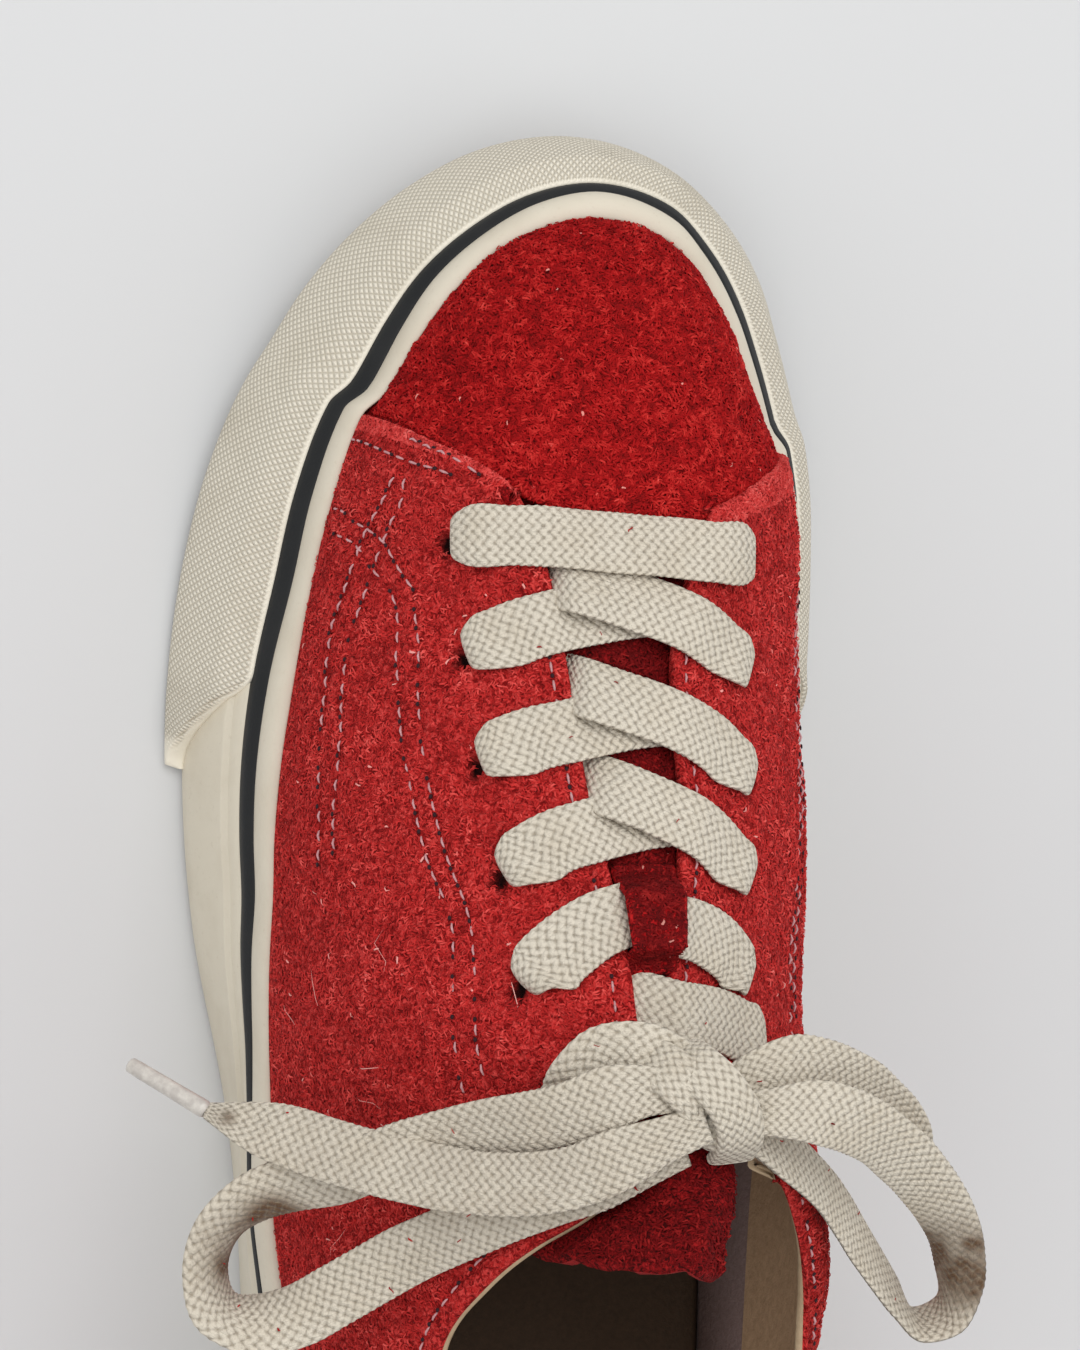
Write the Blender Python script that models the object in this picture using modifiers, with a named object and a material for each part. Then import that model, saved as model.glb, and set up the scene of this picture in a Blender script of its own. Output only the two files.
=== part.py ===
"""Low-top suede sneaker for the left foot, empty, laced and tied in a bow.

Sizes are millimetres until a mesh is made; the finished model is in metres, +Z up.
The toe points along -Y and the outer (lateral) side of the foot is +X.
s is the distance forward from the back of the heel, u the distance to the lateral side,
and h the height above the sole's own underside, which lifts at the toe.
"""
import bmesh
import bpy
import numpy as np
from mathutils import Vector
from mathutils.bvhtree import BVHTree

MM = 0.001
HEEL_Y = 145.55             # world y of the back of the heel
MID_U = 1.5                 # u of the middle of the shoe's box, which is at world x = 0
GAP = 0.3                   # clearance where two pieces meet

# The sole and its side
TOE_SPRING = 14.0
SPRING_START = 200.0
SPRING_RUN = 92.0
SPRING_POWER = 1.9
HEEL_LIFT = 1.5
HEEL_RUN = 22.0
OUTSOLE_TOP = 12.3
OUTSOLE_INSET = 4.8
TREAD_DEPTH = 1.8
TREAD_PITCH = 12.0
TREAD_GROOVE = 2.5
FOXING_FOOT = 0.8
FOXING_EDGE = 1.9           # height of its rounded lower edge
FOXING_FOOT_INSET = 0.9
FOXING_BELLY = 9.0          # height of a line along its convex lower band
FOXING_RIB = 16.8           # top of the thick lower band of the foxing
FOXING_RIB_EDGE = 0.5       # height of that band's sloping top edge
FOXING_TOP = 19.7
STRIPE = (20.0, 22.6)
STRIPE_BULGE = 0.4
STRIPE_RECESS = 0.1         # how far its edges lie behind the foxing's face
BAND = (22.9, 28.9)
BELT = 21.0                 # height where the table's belt column is measured
BRIM = 29.0                 # height where the upper comes out of the foxing
BUMPER_THICK = 2.3
BUMPER_TOP = 19.4
BUMPER_ENDS = (187.0, 204.0)    # s of the bumper's foot and of its top corner at both ends

# The upper
WALL = 2.2
OVERLAY = 1.5               # how far the quarters stand proud of the vamp
LEATHER_STEP = (0.0, 0.6)   # the step's own run round the sole
RUBBER_BRIDGE = (0.6, 3.4)  # run of the rubber over it, in front of the step
FEATHER = OUTSOLE_TOP + GAP
UPPER_FOOT = 13.2           # lower edge of the upper's wall
FEATHER_INSET = 6.3
FEATHER_LEAN = 0.35
BELT_WALL = 1.9

UPPER_LEVELS = (0.15, 0.32, 0.49, 0.66, 0.83, 1.0)
WIDE_BAY = 16.0             # longest run of the side without a column of its own

END_STEPS = np.array((0.5, 1.8, 4.4, 8.4))         # stations at the ends of outsole and insole
TREAD_PADS = ((14.0, 86.0), (150.0, 270.0))         # s of the tread under heel and forefoot
WAIST_STATIONS = (94.0, 104.0, 114.0, 124.0, 133.0, 142.0)
GROOVE_SLOPE = 0.3
RIB_FADE = (196.0, 204.0)   # s where the thick band of the foxing ends, under the bumper
FOXING_RIB_THICK = 0.7
FOXING_CURVE = 1.5
BAND_SETBACK = 0.5          # first inset of the rounded band from the belt line
BAND_PROFILE = ((-0.03, 22.9), (0.08, 25.2), (0.42, 27.3))
BAND_LAND = 0.5             # width of its flat top edge
BUMPER_CLEAR = 0.8          # to the rounded face of the foxing behind it
BUMPER_BAY = 1.2            # closest spacing of its columns
BUMPER_MIN = 1.6            # height of the bumper's edge at its two tips
BUMPER_PROFILE = ((0.0, 0.75), (0.12, 1.0), (0.88, 1.0), (1.0, 0.6))

INSOLE_THICK = 4.0
INSOLE_STEP = 10.0          # spacing of its stations between the closer ones at both ends
INSOLE_ENDS = (8.0, 4.0)
INSOLE_CLEAR = 1.2          # wall thicknesses kept clear at the insole's edge
TONGUE_THICK = 2.8
#   top_s, depth under the eyestay, crown across the throat, slit along the medial edge
TONGUE_ROWS = (
    (226.0, 2.9, 0.0, 1.2), (218.0, 1.7, 0.4, 1.2), (205.0, 0.9, 1.0, 1.2),
    (190.0, 0.9, 1.1, 1.0), (175.0, 0.9, 1.2, 0.5), (160.0, 0.9, 1.4, 0.1),
    (146.0, 0.9, 1.8, 0.6), (134.0, 0.9, 2.2, 1.4))
TONGUE_TUCK = (0.68, 0.8, 0.9, 1.0)     # how far the tongue reaches down under the lateral side
TONGUE_SPAN = (0.12, 0.3, 0.5, 0.7, 0.88, 1.0)
TONGUE_ROOT = (0.0, 10.0, -3.4)     # shift of the tongue's root, under the vamp
TONGUE_TIP = ((6.0, 3.5, 4.0), (12.0, 7.5, 7.0), (17.5, 10.5, 10.5))   # back, rise, crown
TONGUE_ARCH = 2.6           # how square the crown across the throat is
TONGUE_FREE = 1.2           # extra depth inside the collar

# Lace keeper, at its rear and front end: s, u from, to
KEEPER = ((160.0, -0.8, 4.6), (175.3, -3.2, 4.8))
KEEPER_ARCH = 5.4
KEEPER_CLEAR = 0.5          # to the faceted crown of the tongue
KEEPER_FOOT = (0.06, 0.24)  # share of its length where it rises
KEEPER_THICK = 1.5
LACE_WIDTH = 9.4
BOW_WIDTH = 9.8
LACE_THICK = 1.5
LACE_LIFT = 0.4             # clearance of a lace over the leather
LACE_OVER = 1.2             # extra lift of the upper lace at a crossing
EYELET_RADIUS = 3.0
EYELET_DEPTH = 5.0
# Fold of a lace into its eyelet: height, distance from the eyelet, share of its width, thickness
EYELET_FOLD = ((-1.1, 0.0, 0.36, 1.2), (0.7, 0.4, 0.42, 1.5), (1.4, 2.8, 0.8, 1.5))
CROSSING_SHARE = 0.5
KEEPER_INSIDE = 1.2         # how far the laces reach in under the keeper
KEEPER_LACES = (1.0, -0.5)  # where they lie from its middle, lateral and medial
KEEPER_STATIONS = 11
TOP_STRAP_S = 153.0         # where the uppermost strap leaves the lateral edge of the throat
EYELET_SIDES = 10
AGLET_SIDES = 10
THROAT_CLEAR = 0.6          # lace to the cut edge of the throat
KEEPER_LACE_ARCH = 1.6      # how far the medial lace bows toward the toe
STRAP_STATIONS = 12
SKY = 200.0                 # height above the whole shoe
NOTHING_BELOW = 1.0         # heights under this mean that no leather was found
SETTLE_ROUNDS = 3
SETTLE_SHARES = (0.0, 0.25, 0.5, 0.75)          # spots tested between two rings of a lace
SETTLE_ACROSS = (-1.0, -0.5, 0.0, 0.5, 1.0)     # and across its width
SETTLE_LIMIT = 3.0          # deeper than this is the far side of an edge, not the leather below
OVER_REACH = (0.14, 0.34)   # share of a strap's length where it rises to cross another
RIBBON_STEP = 6.8           # closest spacing of a free lace's sections
WRAP_STEP = 3.2
# Section of a flat lace, in half widths and half thicknesses
LACE_SECTION = ((-1.0, 0.0), (-0.9, -1.0), (0.9, -1.0), (1.0, 0.0), (0.9, 1.0), (-0.9, 1.0))

# Eyelets by side and row, counted from the toe: (u, s)
EYELETS = {
    "lateral": ((23.6, 224.6), (22.7, 207.2), (22.5, 190.8), (21.1, 173.9), (20.1, 157.4),
                (17.7, 141.9)),
    "medial": ((-25.4, 221.9), (-22.7, 204.4), (-20.7, 187.2), (-18.2, 172.5), (-16.3, 157.0),
               (-18.6, 147.9)),
}
# Crossings: row, s where each lace leaves the opposite throat edge (lateral lace, medial lace)
# and how far the upper lace bows toward the toe at mid-length
CROSSINGS = ((1, 214.4, 217.2, 0.0), (2, 199.8, 201.6, 1.8), (3, 184.6, 187.0, 2.8))

# Centre lines of the bow: u, s, z and the turn of the flat lace about its own line in degrees
BOW_ROUTES = {
    "loop_lateral": (
        (-1.0, 142.0, 106.0, 0), (8.1, 143.3, 106.0, 0), (19.0, 139.4, 101.0, -5),
        (29.2, 136.6, 93.0, -10), (39.4, 133.0, 85.5, -10), (48.6, 128.7, 79.0, -15),
        (58.2, 126.0, 74.0, -22), (64.5, 120.4, 70.5, -30), (66.0, 112.5, 68.5, -33),
        (63.0, 105.9, 68.5, -30), (54.4, 105.9, 71.0, -18), (46.2, 110.6, 75.5, -8),
        (38.3, 116.1, 80.5, -5), (30.6, 121.0, 88.0, 0), (21.3, 126.0, 95.0, 0),
        (10.5, 130.3, 100.5, 0), (0.5, 134.2, 102.0, 0)),
    "end_lateral": (
        (-1.4, 138.3, 108.0, 0), (7.4, 134.9, 106.5, 0), (18.4, 129.9, 101.5, 0),
        (28.9, 128.8, 95.5, 5), (39.4, 130.4, 88.5, 10), (48.8, 132.7, 82.0, 10),
        (56.7, 135.4, 76.5, 15), (62.8, 137.2, 72.5, 20), (66.2, 138.4, 70.5, 30)),
    "loop_medial": (
        (-5.0, 139.6, 106.0, 0), (-10.8, 139.6, 107.5, 0), (-18.6, 139.4, 107.0, 0),
        (-28.0, 136.4, 103.5, 10), (-36.4, 131.0, 98.0, 20), (-44.2, 123.7, 92.0, 35),
        (-49.6, 116.3, 86.5, 50), (-51.6, 110.2, 83.0, 62), (-51.4, 104.6, 80.5, 70),
        (-49.4, 101.0, 79.0, 72), (-46.0, 102.0, 79.0, 64), (-41.1, 107.7, 81.0, 54),
        (-34.3, 116.0, 85.0, 46), (-27.1, 124.6, 90.5, 44), (-20.4, 130.2, 95.5, 40),
        (-13.2, 134.6, 100.0, 34), (-6.0, 137.6, 103.0, 25)),
    "end_medial": (
        (-4.6, 141.4, 104.0, 0), (-9.0, 144.4, 104.5, 0), (-14.6, 145.8, 104.0, 0),
        (-21.0, 145.2, 101.5, 5), (-28.0, 142.6, 97.5, 10), (-34.8, 138.4, 92.0, 15),
        (-40.4, 133.2, 87.0, 20), (-44.4, 128.0, 82.0, 20), (-47.2, 122.6, 78.0, 20)),
    "lead_lateral": (
        (16.4, 139.8, 94.6, -25), (15.6, 144.4, 97.8, -20), (12.4, 148.0, 101.0, -10),
        (7.6, 148.5, 103.2, 0), (2.6, 146.2, 104.0, 0), (-1.5, 143.2, 103.5, 0)),
}
KNOT_CENTRE = (-4.6, 139.6, 104.8)
KNOT_RADII = (5.6, 6.2, 4.2)
KNOT_SIDES = 12
KNOT_RINGS = 8
# Turns of lace over the knot
KNOT_WRAPS = (
    ((1.2, 148.6, 102.6, 0), (0.4, 147.0, 107.6, 0), (-2.8, 143.8, 110.0, 0),
     (-5.6, 139.6, 109.8, 0), (-7.0, 135.4, 107.0, 0), (-7.4, 132.4, 101.6, 0)),
    ((6.4, 147.8, 101.5, 0), (4.4, 146.4, 106.4, 0), (1.6, 143.8, 108.4, 0),
     (-1.4, 140.8, 107.4, 0), (-4.0, 138.2, 103.5, 0)),
)
AGLET_END = (76.4, 145.0, 62.5)
AGLET_RADIUS = 1.35

# One row for each section round the shoe: heel, lateral side, toe, medial side.
#   sole_u, sole_s          foot of the foxing
#   belt, brim              how far in the side stands at the belt and at the brim, at vamp level
#   top_u, top_s, top_z     end of the section on the collar, the throat or the vamp's rear edge
#   lean, rise, reach, drop handles of the section's curve, at the brim and at the top
SECTION_COLUMNS = ("sole_u", "sole_s", "belt", "brim", "top_u", "top_s", "top_z",
                   "lean", "rise", "reach", "drop")
SECTIONS = (
    (3.0, 0.0, 2.3, 4.5, 2.0, 9.5, 84.0, 2.0, 16.0, 4.0, 17.0),         # back of the heel
    (16.5, 2.6, 2.3, 4.7, 11.5, 11.5, 83.0, 2.0, 16.0, 4.0, 17.0),
    (30.0, 12.5, 2.3, 4.8, 20.5, 18.5, 80.5, 2.0, 16.0, 4.0, 16.0),
    (38.3, 29.0, 2.1, 4.7, 26.5, 33.0, 76.0, 2.0, 16.0, 4.5, 15.0),
    (41.6, 50.0, 1.7, 4.1, 29.5, 53.0, 72.0, 2.0, 16.0, 5.0, 14.0),
    (42.8, 74.0, 1.1, 3.3, 30.6, 76.0, 70.5, 2.0, 16.0, 6.0, 13.0),
    (43.8, 98.0, 0.2, 2.2, 30.8, 100.0, 75.5, 2.0, 18.0, 8.0, 12.0),
    (45.0, 119.0, -0.8, 1.0, 26.5, 111.0, 83.5, 1.5, 22.0, 10.0, 11.0),
    (47.1, 135.0, 1.1, 2.9, 19.5, 118.5, 89.5, 1.0, 26.0, 13.0, 10.0),
    (48.8, 143.5, 2.6, 4.4, 12.5, 123.8, 94.6, 0.5, 30.0, 17.0, 9.5),
    (50.2, 150.0, 3.7, 5.8, 6.4, 129.8, 98.3, 0.0, 32.0, 20.0, 8.5),     # top corner, eyestay
    (51.7, 158.0, 5.0, 7.5, 5.6, 141.0, 97.8, 0.0, 34.0, 20.0, 8.5),
    (52.8, 167.0, 6.4, 9.1, 5.2, 155.0, 92.4, 0.0, 32.0, 20.0, 8.0),
    (53.5, 176.0, 6.8, 10.0, 5.5, 167.0, 87.2, 0.0, 29.0, 18.0, 7.0),
    (53.8, 186.0, 7.3, 11.1, 7.8, 182.0, 80.3, 0.0, 25.0, 16.0, 6.0),
    (53.3, 203.0, 8.8, 13.1, 8.6, 201.0, 71.4, 0.0, 20.0, 15.0, 5.0),
    (51.1, 220.0, 10.3, 13.9, 9.8, 218.0, 64.4, 0.0, 16.0, 13.0, 3.5),
    (47.5, 235.0, 10.0, 13.8, 11.8, 227.5, 60.9, -0.5, 14.0, 12.0, 3.0),
    (41.3, 250.2, 9.3, 12.8, 13.0, 232.5, 59.2, -1.0, 12.0, 11.0, 2.5),  # front of the quarter
    (37.9, 255.8, 9.2, 12.6, 9.4, 229.6, 60.8, -1.5, 11.0, 13.0, 2.5),
    (32.7, 264.3, 8.6, 12.5, 6.2, 227.6, 61.7, -2.0, 11.0, 16.0, 2.5),
    (25.0, 273.4, 7.4, 11.8, 3.4, 226.3, 62.2, -2.5, 11.0, 20.0, 2.5),
    (16.5, 280.5, 7.0, 11.4, 1.0, 225.7, 62.5, -3.0, 12.0, 23.0, 2.5),
    (5.5, 286.3, 6.6, 11.8, -1.2, 225.4, 62.6, -3.0, 12.0, 25.0, 2.5),
    (-7.7, 288.5, 6.2, 12.2, -3.4, 225.3, 62.7, -3.0, 12.0, 25.0, 2.5),  # toe
    (-17.1, 287.1, 6.2, 12.5, -5.6, 225.3, 62.7, -3.0, 12.0, 25.0, 2.5),
    (-25.9, 283.3, 6.4, 12.7, -7.9, 225.4, 62.6, -3.0, 12.0, 23.0, 2.5),
    (-32.3, 278.3, 7.2, 13.2, -10.1, 225.7, 62.4, -2.5, 11.0, 20.0, 2.5),
    (-37.4, 272.7, 7.7, 13.9, -12.2, 226.2, 62.2, -2.5, 11.0, 18.0, 2.5),
    (-41.3, 266.4, 7.9, 13.9, -14.2, 226.9, 61.8, -2.0, 11.0, 16.0, 2.5),
    (-44.4, 258.1, 7.5, 13.5, -16.0, 227.7, 61.3, -1.5, 11.0, 13.0, 2.5),
    (-47.4, 248.7, 7.2, 13.0, -17.4, 228.7, 60.7, -1.0, 12.0, 11.0, 2.5),
    (-49.7, 240.3, 7.1, 12.3, -18.2, 229.6, 60.2, -0.5, 13.0, 11.0, 2.5),  # front of the quarter
    (-50.7, 231.5, 6.5, 11.2, -15.0, 224.0, 62.6, 0.0, 14.0, 11.0, 3.0),
    (-51.0, 221.5, 6.3, 10.6, -12.1, 217.0, 65.1, 0.0, 16.0, 12.0, 3.5),
    (-50.8, 208.0, 6.2, 10.2, -8.6, 206.0, 69.6, -0.5, 19.0, 12.0, 4.5),
    (-49.0, 195.0, 4.6, 8.4, -7.5, 194.0, 74.9, -0.8, 21.0, 13.0, 5.5),
    (-46.0, 180.0, 2.5, 5.3, -6.5, 182.0, 80.5, -0.3, 24.0, 14.0, 6.5),
    (-42.7, 165.0, 0.7, 2.8, -3.6, 169.0, 86.5, 0.5, 26.0, 15.5, 7.0),
    (-40.0, 151.0, 0.0, 1.6, -0.7, 158.0, 91.4, 1.5, 28.0, 17.0, 7.5),
    (-38.8, 142.0, -0.2, 1.3, -0.5, 148.0, 95.4, 3.0, 28.0, 18.0, 8.0),
    (-38.2, 133.0, -0.3, 1.2, -3.2, 137.2, 99.0, 4.2, 28.0, 18.5, 8.0),
    (-37.7, 124.0, -0.2, 1.3, -9.5, 132.2, 99.2, 4.8, 26.0, 18.0, 8.0),  # top corner, eyestay
    (-37.3, 115.0, 0.0, 1.6, -17.0, 128.3, 96.0, 5.4, 24.0, 16.5, 8.0),
    (-37.1, 106.0, 0.2, 1.9, -22.6, 119.5, 88.4, 6.0, 21.0, 15.8, 8.0),
    (-37.0, 97.0, 0.4, 2.2, -26.2, 110.0, 81.3, 6.0, 18.0, 13.5, 9.0),
    (-37.0, 86.0, 0.8, 2.7, -28.4, 98.0, 74.6, 5.0, 17.0, 11.0, 10.0),
    (-36.9, 70.0, 1.5, 3.3, -29.2, 77.0, 70.5, 3.0, 16.0, 7.5, 12.0),
    (-36.2, 50.0, 2.1, 3.9, -28.2, 53.0, 72.0, 2.0, 16.0, 5.5, 14.0),
    (-32.8, 29.0, 2.3, 4.5, -23.8, 33.0, 76.0, 2.0, 16.0, 4.5, 15.0),
    (-24.0, 12.5, 2.3, 4.7, -17.0, 18.5, 80.5, 2.0, 16.0, 4.0, 16.0),
    (-10.5, 2.6, 2.3, 4.7, -7.5, 11.5, 83.0, 2.0, 16.0, 4.0, 17.0),
)
ROW_TONGUE_LATERAL = 6      # the tongue's free end reaches back this far inside the collar
ROW_CORNER_LATERAL = 10
ROW_FRONT_LATERAL = 18
ROW_TOE = 24
ROW_FRONT_MEDIAL = 32
ROW_CORNER_MEDIAL = 42
LATERAL_SIDE = (8, 20)      # rows of the lateral and the medial side at the forefoot
MEDIAL_SIDE = (30, 44)

TABLE = np.array(SECTIONS)
SOLE_STEPS = np.hypot(*np.diff(TABLE[:, :2], axis=0, append=TABLE[:1, :2]).T)
KNOTS = np.concatenate(([0.0], np.cumsum(SOLE_STEPS)))      # place of each section round the sole
LAP = KNOTS[-1]


def unit(vectors):
    """Vectors scaled to length 1."""
    return vectors / np.linalg.norm(vectors, axis=-1, keepdims=True)


def smooth(knots, values, places):
    """Cubic through the values, with each tangent taken from the two neighbours."""
    slopes = np.gradient(values, knots, axis=0)
    i = np.clip(np.searchsorted(knots, places, side="right") - 1, 0, len(knots) - 2)
    span = knots[i + 1] - knots[i]
    f = ((places - knots[i]) / span)[:, None]
    span = span[:, None]
    return ((2 * f**3 - 3 * f**2 + 1) * values[i] + (f**3 - 2 * f**2 + f) * span * slopes[i]
            + (3 * f**2 - 2 * f**3) * values[i + 1] + (f**3 - f**2) * span * slopes[i + 1])


def around(places):
    """The table's columns at any places round the sole, as a dict of arrays."""
    knots = np.concatenate((KNOTS[:-1] - LAP, KNOTS[:-1], KNOTS[:-1] + LAP))
    values = np.tile(TABLE, (3, 1))
    columns = smooth(knots, values, np.mod(places, LAP))
    return dict(zip(SECTION_COLUMNS, columns.T))


def ground(s):
    """Height of the sole's underside: flat, lifted at the toe and a little at the heel."""
    toe = TOE_SPRING * (np.clip(s - SPRING_START, 0, None) / SPRING_RUN) ** SPRING_POWER
    heel = HEEL_LIFT * (np.clip(HEEL_RUN - s, 0, None) / HEEL_RUN) ** 2
    return toe + heel


def ramp(x, low, high):
    """0 below low, 1 above high, with a soft change between."""
    t = np.clip((x - low) / (high - low), 0, 1)
    return t * t * (3 - 2 * t)


def overlay(places, rubber=False):
    """How far the surface stands above vamp level: the quarters' step at their front edges.

    The leather steps at once; rubber laid over the step is bridged in front of it.
    """
    near, far = RUBBER_BRIDGE if rubber else LEATHER_STEP
    p = np.mod(places, LAP)
    start = KNOTS[ROW_FRONT_LATERAL]
    end = KNOTS[ROW_FRONT_MEDIAL]
    vamp = ramp(p, start + near, start + far) * (1 - ramp(p, end - far, end - near))
    return OVERLAY * (1 - vamp)


def edge_point(places, inset, h):
    """Point of the side at an inset from the foot of the foxing and a height above the sole."""
    row = around(places)
    here = np.stack((row["sole_u"], row["sole_s"]), axis=1)
    ahead = around(places + 0.5)
    behind = around(places - 0.5)
    run = np.stack((ahead["sole_u"] - behind["sole_u"], ahead["sole_s"] - behind["sole_s"]), 1)
    run = unit(run)
    inward = np.stack((-run[:, 1], run[:, 0]), axis=1)
    plan = here + inward * np.broadcast_to(inset, places.shape)[:, None]
    z = ground(plan[:, 1]) + h
    return np.column_stack((plan, z))


def lower_inset(places, h, rubber=False):
    """Inset of the upper's outer face, from its lower edge to the brim."""
    row = around(places)
    feather = FEATHER_INSET + FEATHER_LEAN * np.clip(row["belt"], 0, None)
    waist = row["belt"] + BELT_WALL
    low = feather + (waist - feather) * (h - FEATHER) / (BELT - FEATHER)
    high = waist + (row["brim"] - waist) * (h - BELT) / (BRIM - BELT)
    return np.where(h < BELT, low, high) - overlay(places, rubber)


def vamp_level(places, v):
    """Point of the upper at vamp level; v runs from 0 at the brim to 1 at the top edge."""
    row = around(places)
    brim = edge_point(places, row["brim"], BRIM)
    top = np.stack((row["top_u"], row["top_s"], row["top_z"]), axis=1)
    out = unit(brim[:, :2] - top[:, :2])
    low = brim + np.column_stack((out * row["lean"][:, None], row["rise"]))
    high = top + np.column_stack((out * row["reach"][:, None], -row["drop"]))
    v = np.broadcast_to(v, places.shape)[:, None]
    w = 1 - v
    return w**3 * brim + 3 * w**2 * v * low + 3 * w * v**2 * high + v**3 * top


def upper_point(places, v, height):
    """Point at a height over vamp level, square to the surface."""
    step = 0.02
    v = np.broadcast_to(v, places.shape)
    v_low = np.clip(v - step, 0, 1)
    v_high = np.clip(v + step, 0, 1)
    across = vamp_level(places + 0.4, v) - vamp_level(places - 0.4, v)
    up = vamp_level(places, v_high) - vamp_level(places, v_low)
    normal = unit(np.cross(across, up))
    return vamp_level(places, v) + normal * np.broadcast_to(height, places.shape)[:, None]


def world(points):
    """(u, s, z) in millimetres to (x, y, z) in metres."""
    points = np.asarray(points, dtype=float)
    return np.stack((points[..., 0] - MID_U, HEEL_Y - points[..., 1], points[..., 2]), -1) * MM


def side_places(first, last, top_s):
    """Places on one side whose sections end at given distances along the throat."""
    rows = np.arange(first, last, 1 if last > first else -1)
    column = SECTION_COLUMNS.index("top_s")
    rows = rows[np.argsort(TABLE[rows, column])]
    return np.interp(top_s, TABLE[rows, column], KNOTS[rows])


def places_at_s(low, high, shares, rows):
    """Places on one side at distances along the sole between two."""
    rows = np.arange(*rows)
    s = TABLE[rows, SECTION_COLUMNS.index("sole_s")]
    order = np.argsort(s)
    return np.interp(low + (high - low) * shares, s[order], KNOTS[rows][order])


def column_places():
    """Places of the mesh columns: every section, a midpoint in wide bays, and the steps."""
    places = []
    for row, start in enumerate(KNOTS[:-1]):
        end = KNOTS[row + 1]
        places.append(start)
        if end - start > WIDE_BAY:
            places.append((start + end) / 2)
    marks = np.array((LEATHER_STEP[1], sum(RUBBER_BRIDGE) / 2, RUBBER_BRIDGE[1]))
    places.extend(KNOTS[ROW_FRONT_LATERAL] + marks)
    places.extend(KNOTS[ROW_FRONT_MEDIAL] - marks)
    return np.sort(np.array(places))


# ---------------------------------------------------------------- meshes and materials

def material(name, colour, roughness, metallic=0.0):
    """Plain Principled material."""
    mat = bpy.data.materials.new(name)
    mat.use_nodes = True
    shader = mat.node_tree.nodes["Principled BSDF"]
    shader.inputs["Base Color"].default_value = (*colour, 1.0)
    shader.inputs["Roughness"].default_value = roughness
    shader.inputs["Metallic"].default_value = metallic
    mat.diffuse_color = (*colour, 1.0)
    return mat


def mesh_object(name, points, faces, mat, collection, closed=True, angle=50.0):
    """Object from points in millimetres, faces turned outward where the mesh is closed."""
    mesh = bpy.data.meshes.new(name)
    mesh.from_pydata(world(points).tolist(), [], faces)
    if closed:
        bm = bmesh.new()
        bm.from_mesh(mesh)
        bmesh.ops.recalc_face_normals(bm, faces=bm.faces)
        bm.to_mesh(mesh)
        bm.free()
    mesh.shade_smooth()
    mesh.set_sharp_from_angle(angle=np.radians(angle))
    mesh.materials.append(mat)
    obj = bpy.data.objects.new(name, mesh)
    collection.objects.link(obj)
    return obj


def grid_faces(columns, rows, wrap):
    """Quads of a grid of points stored column by column."""
    faces = []
    for i in range(columns if wrap else columns - 1):
        a = i * rows
        b = (i + 1) % columns * rows
        for j in range(rows - 1):
            faces.append((a + j, b + j, b + j + 1, a + j + 1))
    return faces


def ring_faces(columns, rows, wrap):
    """Quads of a swept closed profile, with end caps where it doesn't go all the way round."""
    faces = []
    for i in range(columns if wrap else columns - 1):
        a = i * rows
        b = (i + 1) % columns * rows
        for j in range(rows):
            k = (j + 1) % rows
            faces.append((a + j, b + j, b + k, a + k))
    if not wrap:
        faces.append(tuple(range(rows)))
        faces.append(tuple((columns - 1) * rows + j for j in range(rows)))
    return faces


def side_ring(name, places, profile, mat, collection, wrap=True):
    """Ring swept round the side; the profile is a list of (inset, h), each one or per place."""
    loops = [edge_point(places, inset, h) for inset, h in profile]
    points = np.stack(loops, axis=1).reshape(-1, 3)
    faces = ring_faces(len(places), len(profile), wrap)
    return mesh_object(name, points, faces, mat, collection)


def slab(name, outline, stations, mat, collection):
    """Slab across the shoe; stations are (s, bottom h, top h), the outline is a loop (u, s)."""
    toe = int(np.argmax(outline[:, 1]))
    heel = int(np.argmin(outline[:, 1]))
    loop = np.roll(outline, -heel, axis=0)
    toe = (toe - heel) % len(outline)
    lateral = loop[:toe + 1]
    medial = np.vstack((loop[:1], loop[:toe - 1:-1]))
    points = []
    for s, bottom, top in stations:
        left = np.interp(s, lateral[:, 1], lateral[:, 0])
        right = np.interp(s, medial[:, 1], medial[:, 0])
        floor = float(ground(np.array(s)))
        points.extend(((left, s, floor + top), (left, s, floor + bottom),
                       (right, s, floor + bottom), (right, s, floor + top)))
    return mesh_object(name, np.array(points), ring_faces(len(stations), 4, False), mat,
                       collection, angle=30.0)


# ---------------------------------------------------------------- sole

def foxing_inset(places, h):
    """Inset of the foxing's outer face: convex, with a thick lower band behind the bumper."""
    row = around(places)
    belt = row["belt"] - overlay(places, rubber=True)
    rib = 1 - ramp(row["sole_s"], *RIB_FADE)
    lower = np.where(h <= FOXING_RIB, FOXING_RIB_THICK * rib * h / FOXING_RIB, 0.0)
    return belt * (h / BELT) ** FOXING_CURVE - lower


def inner_inset(places, h):
    """Inset of a ring's inner face, clear of the upper."""
    return lower_inset(places, h, rubber=True) - GAP


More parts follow.
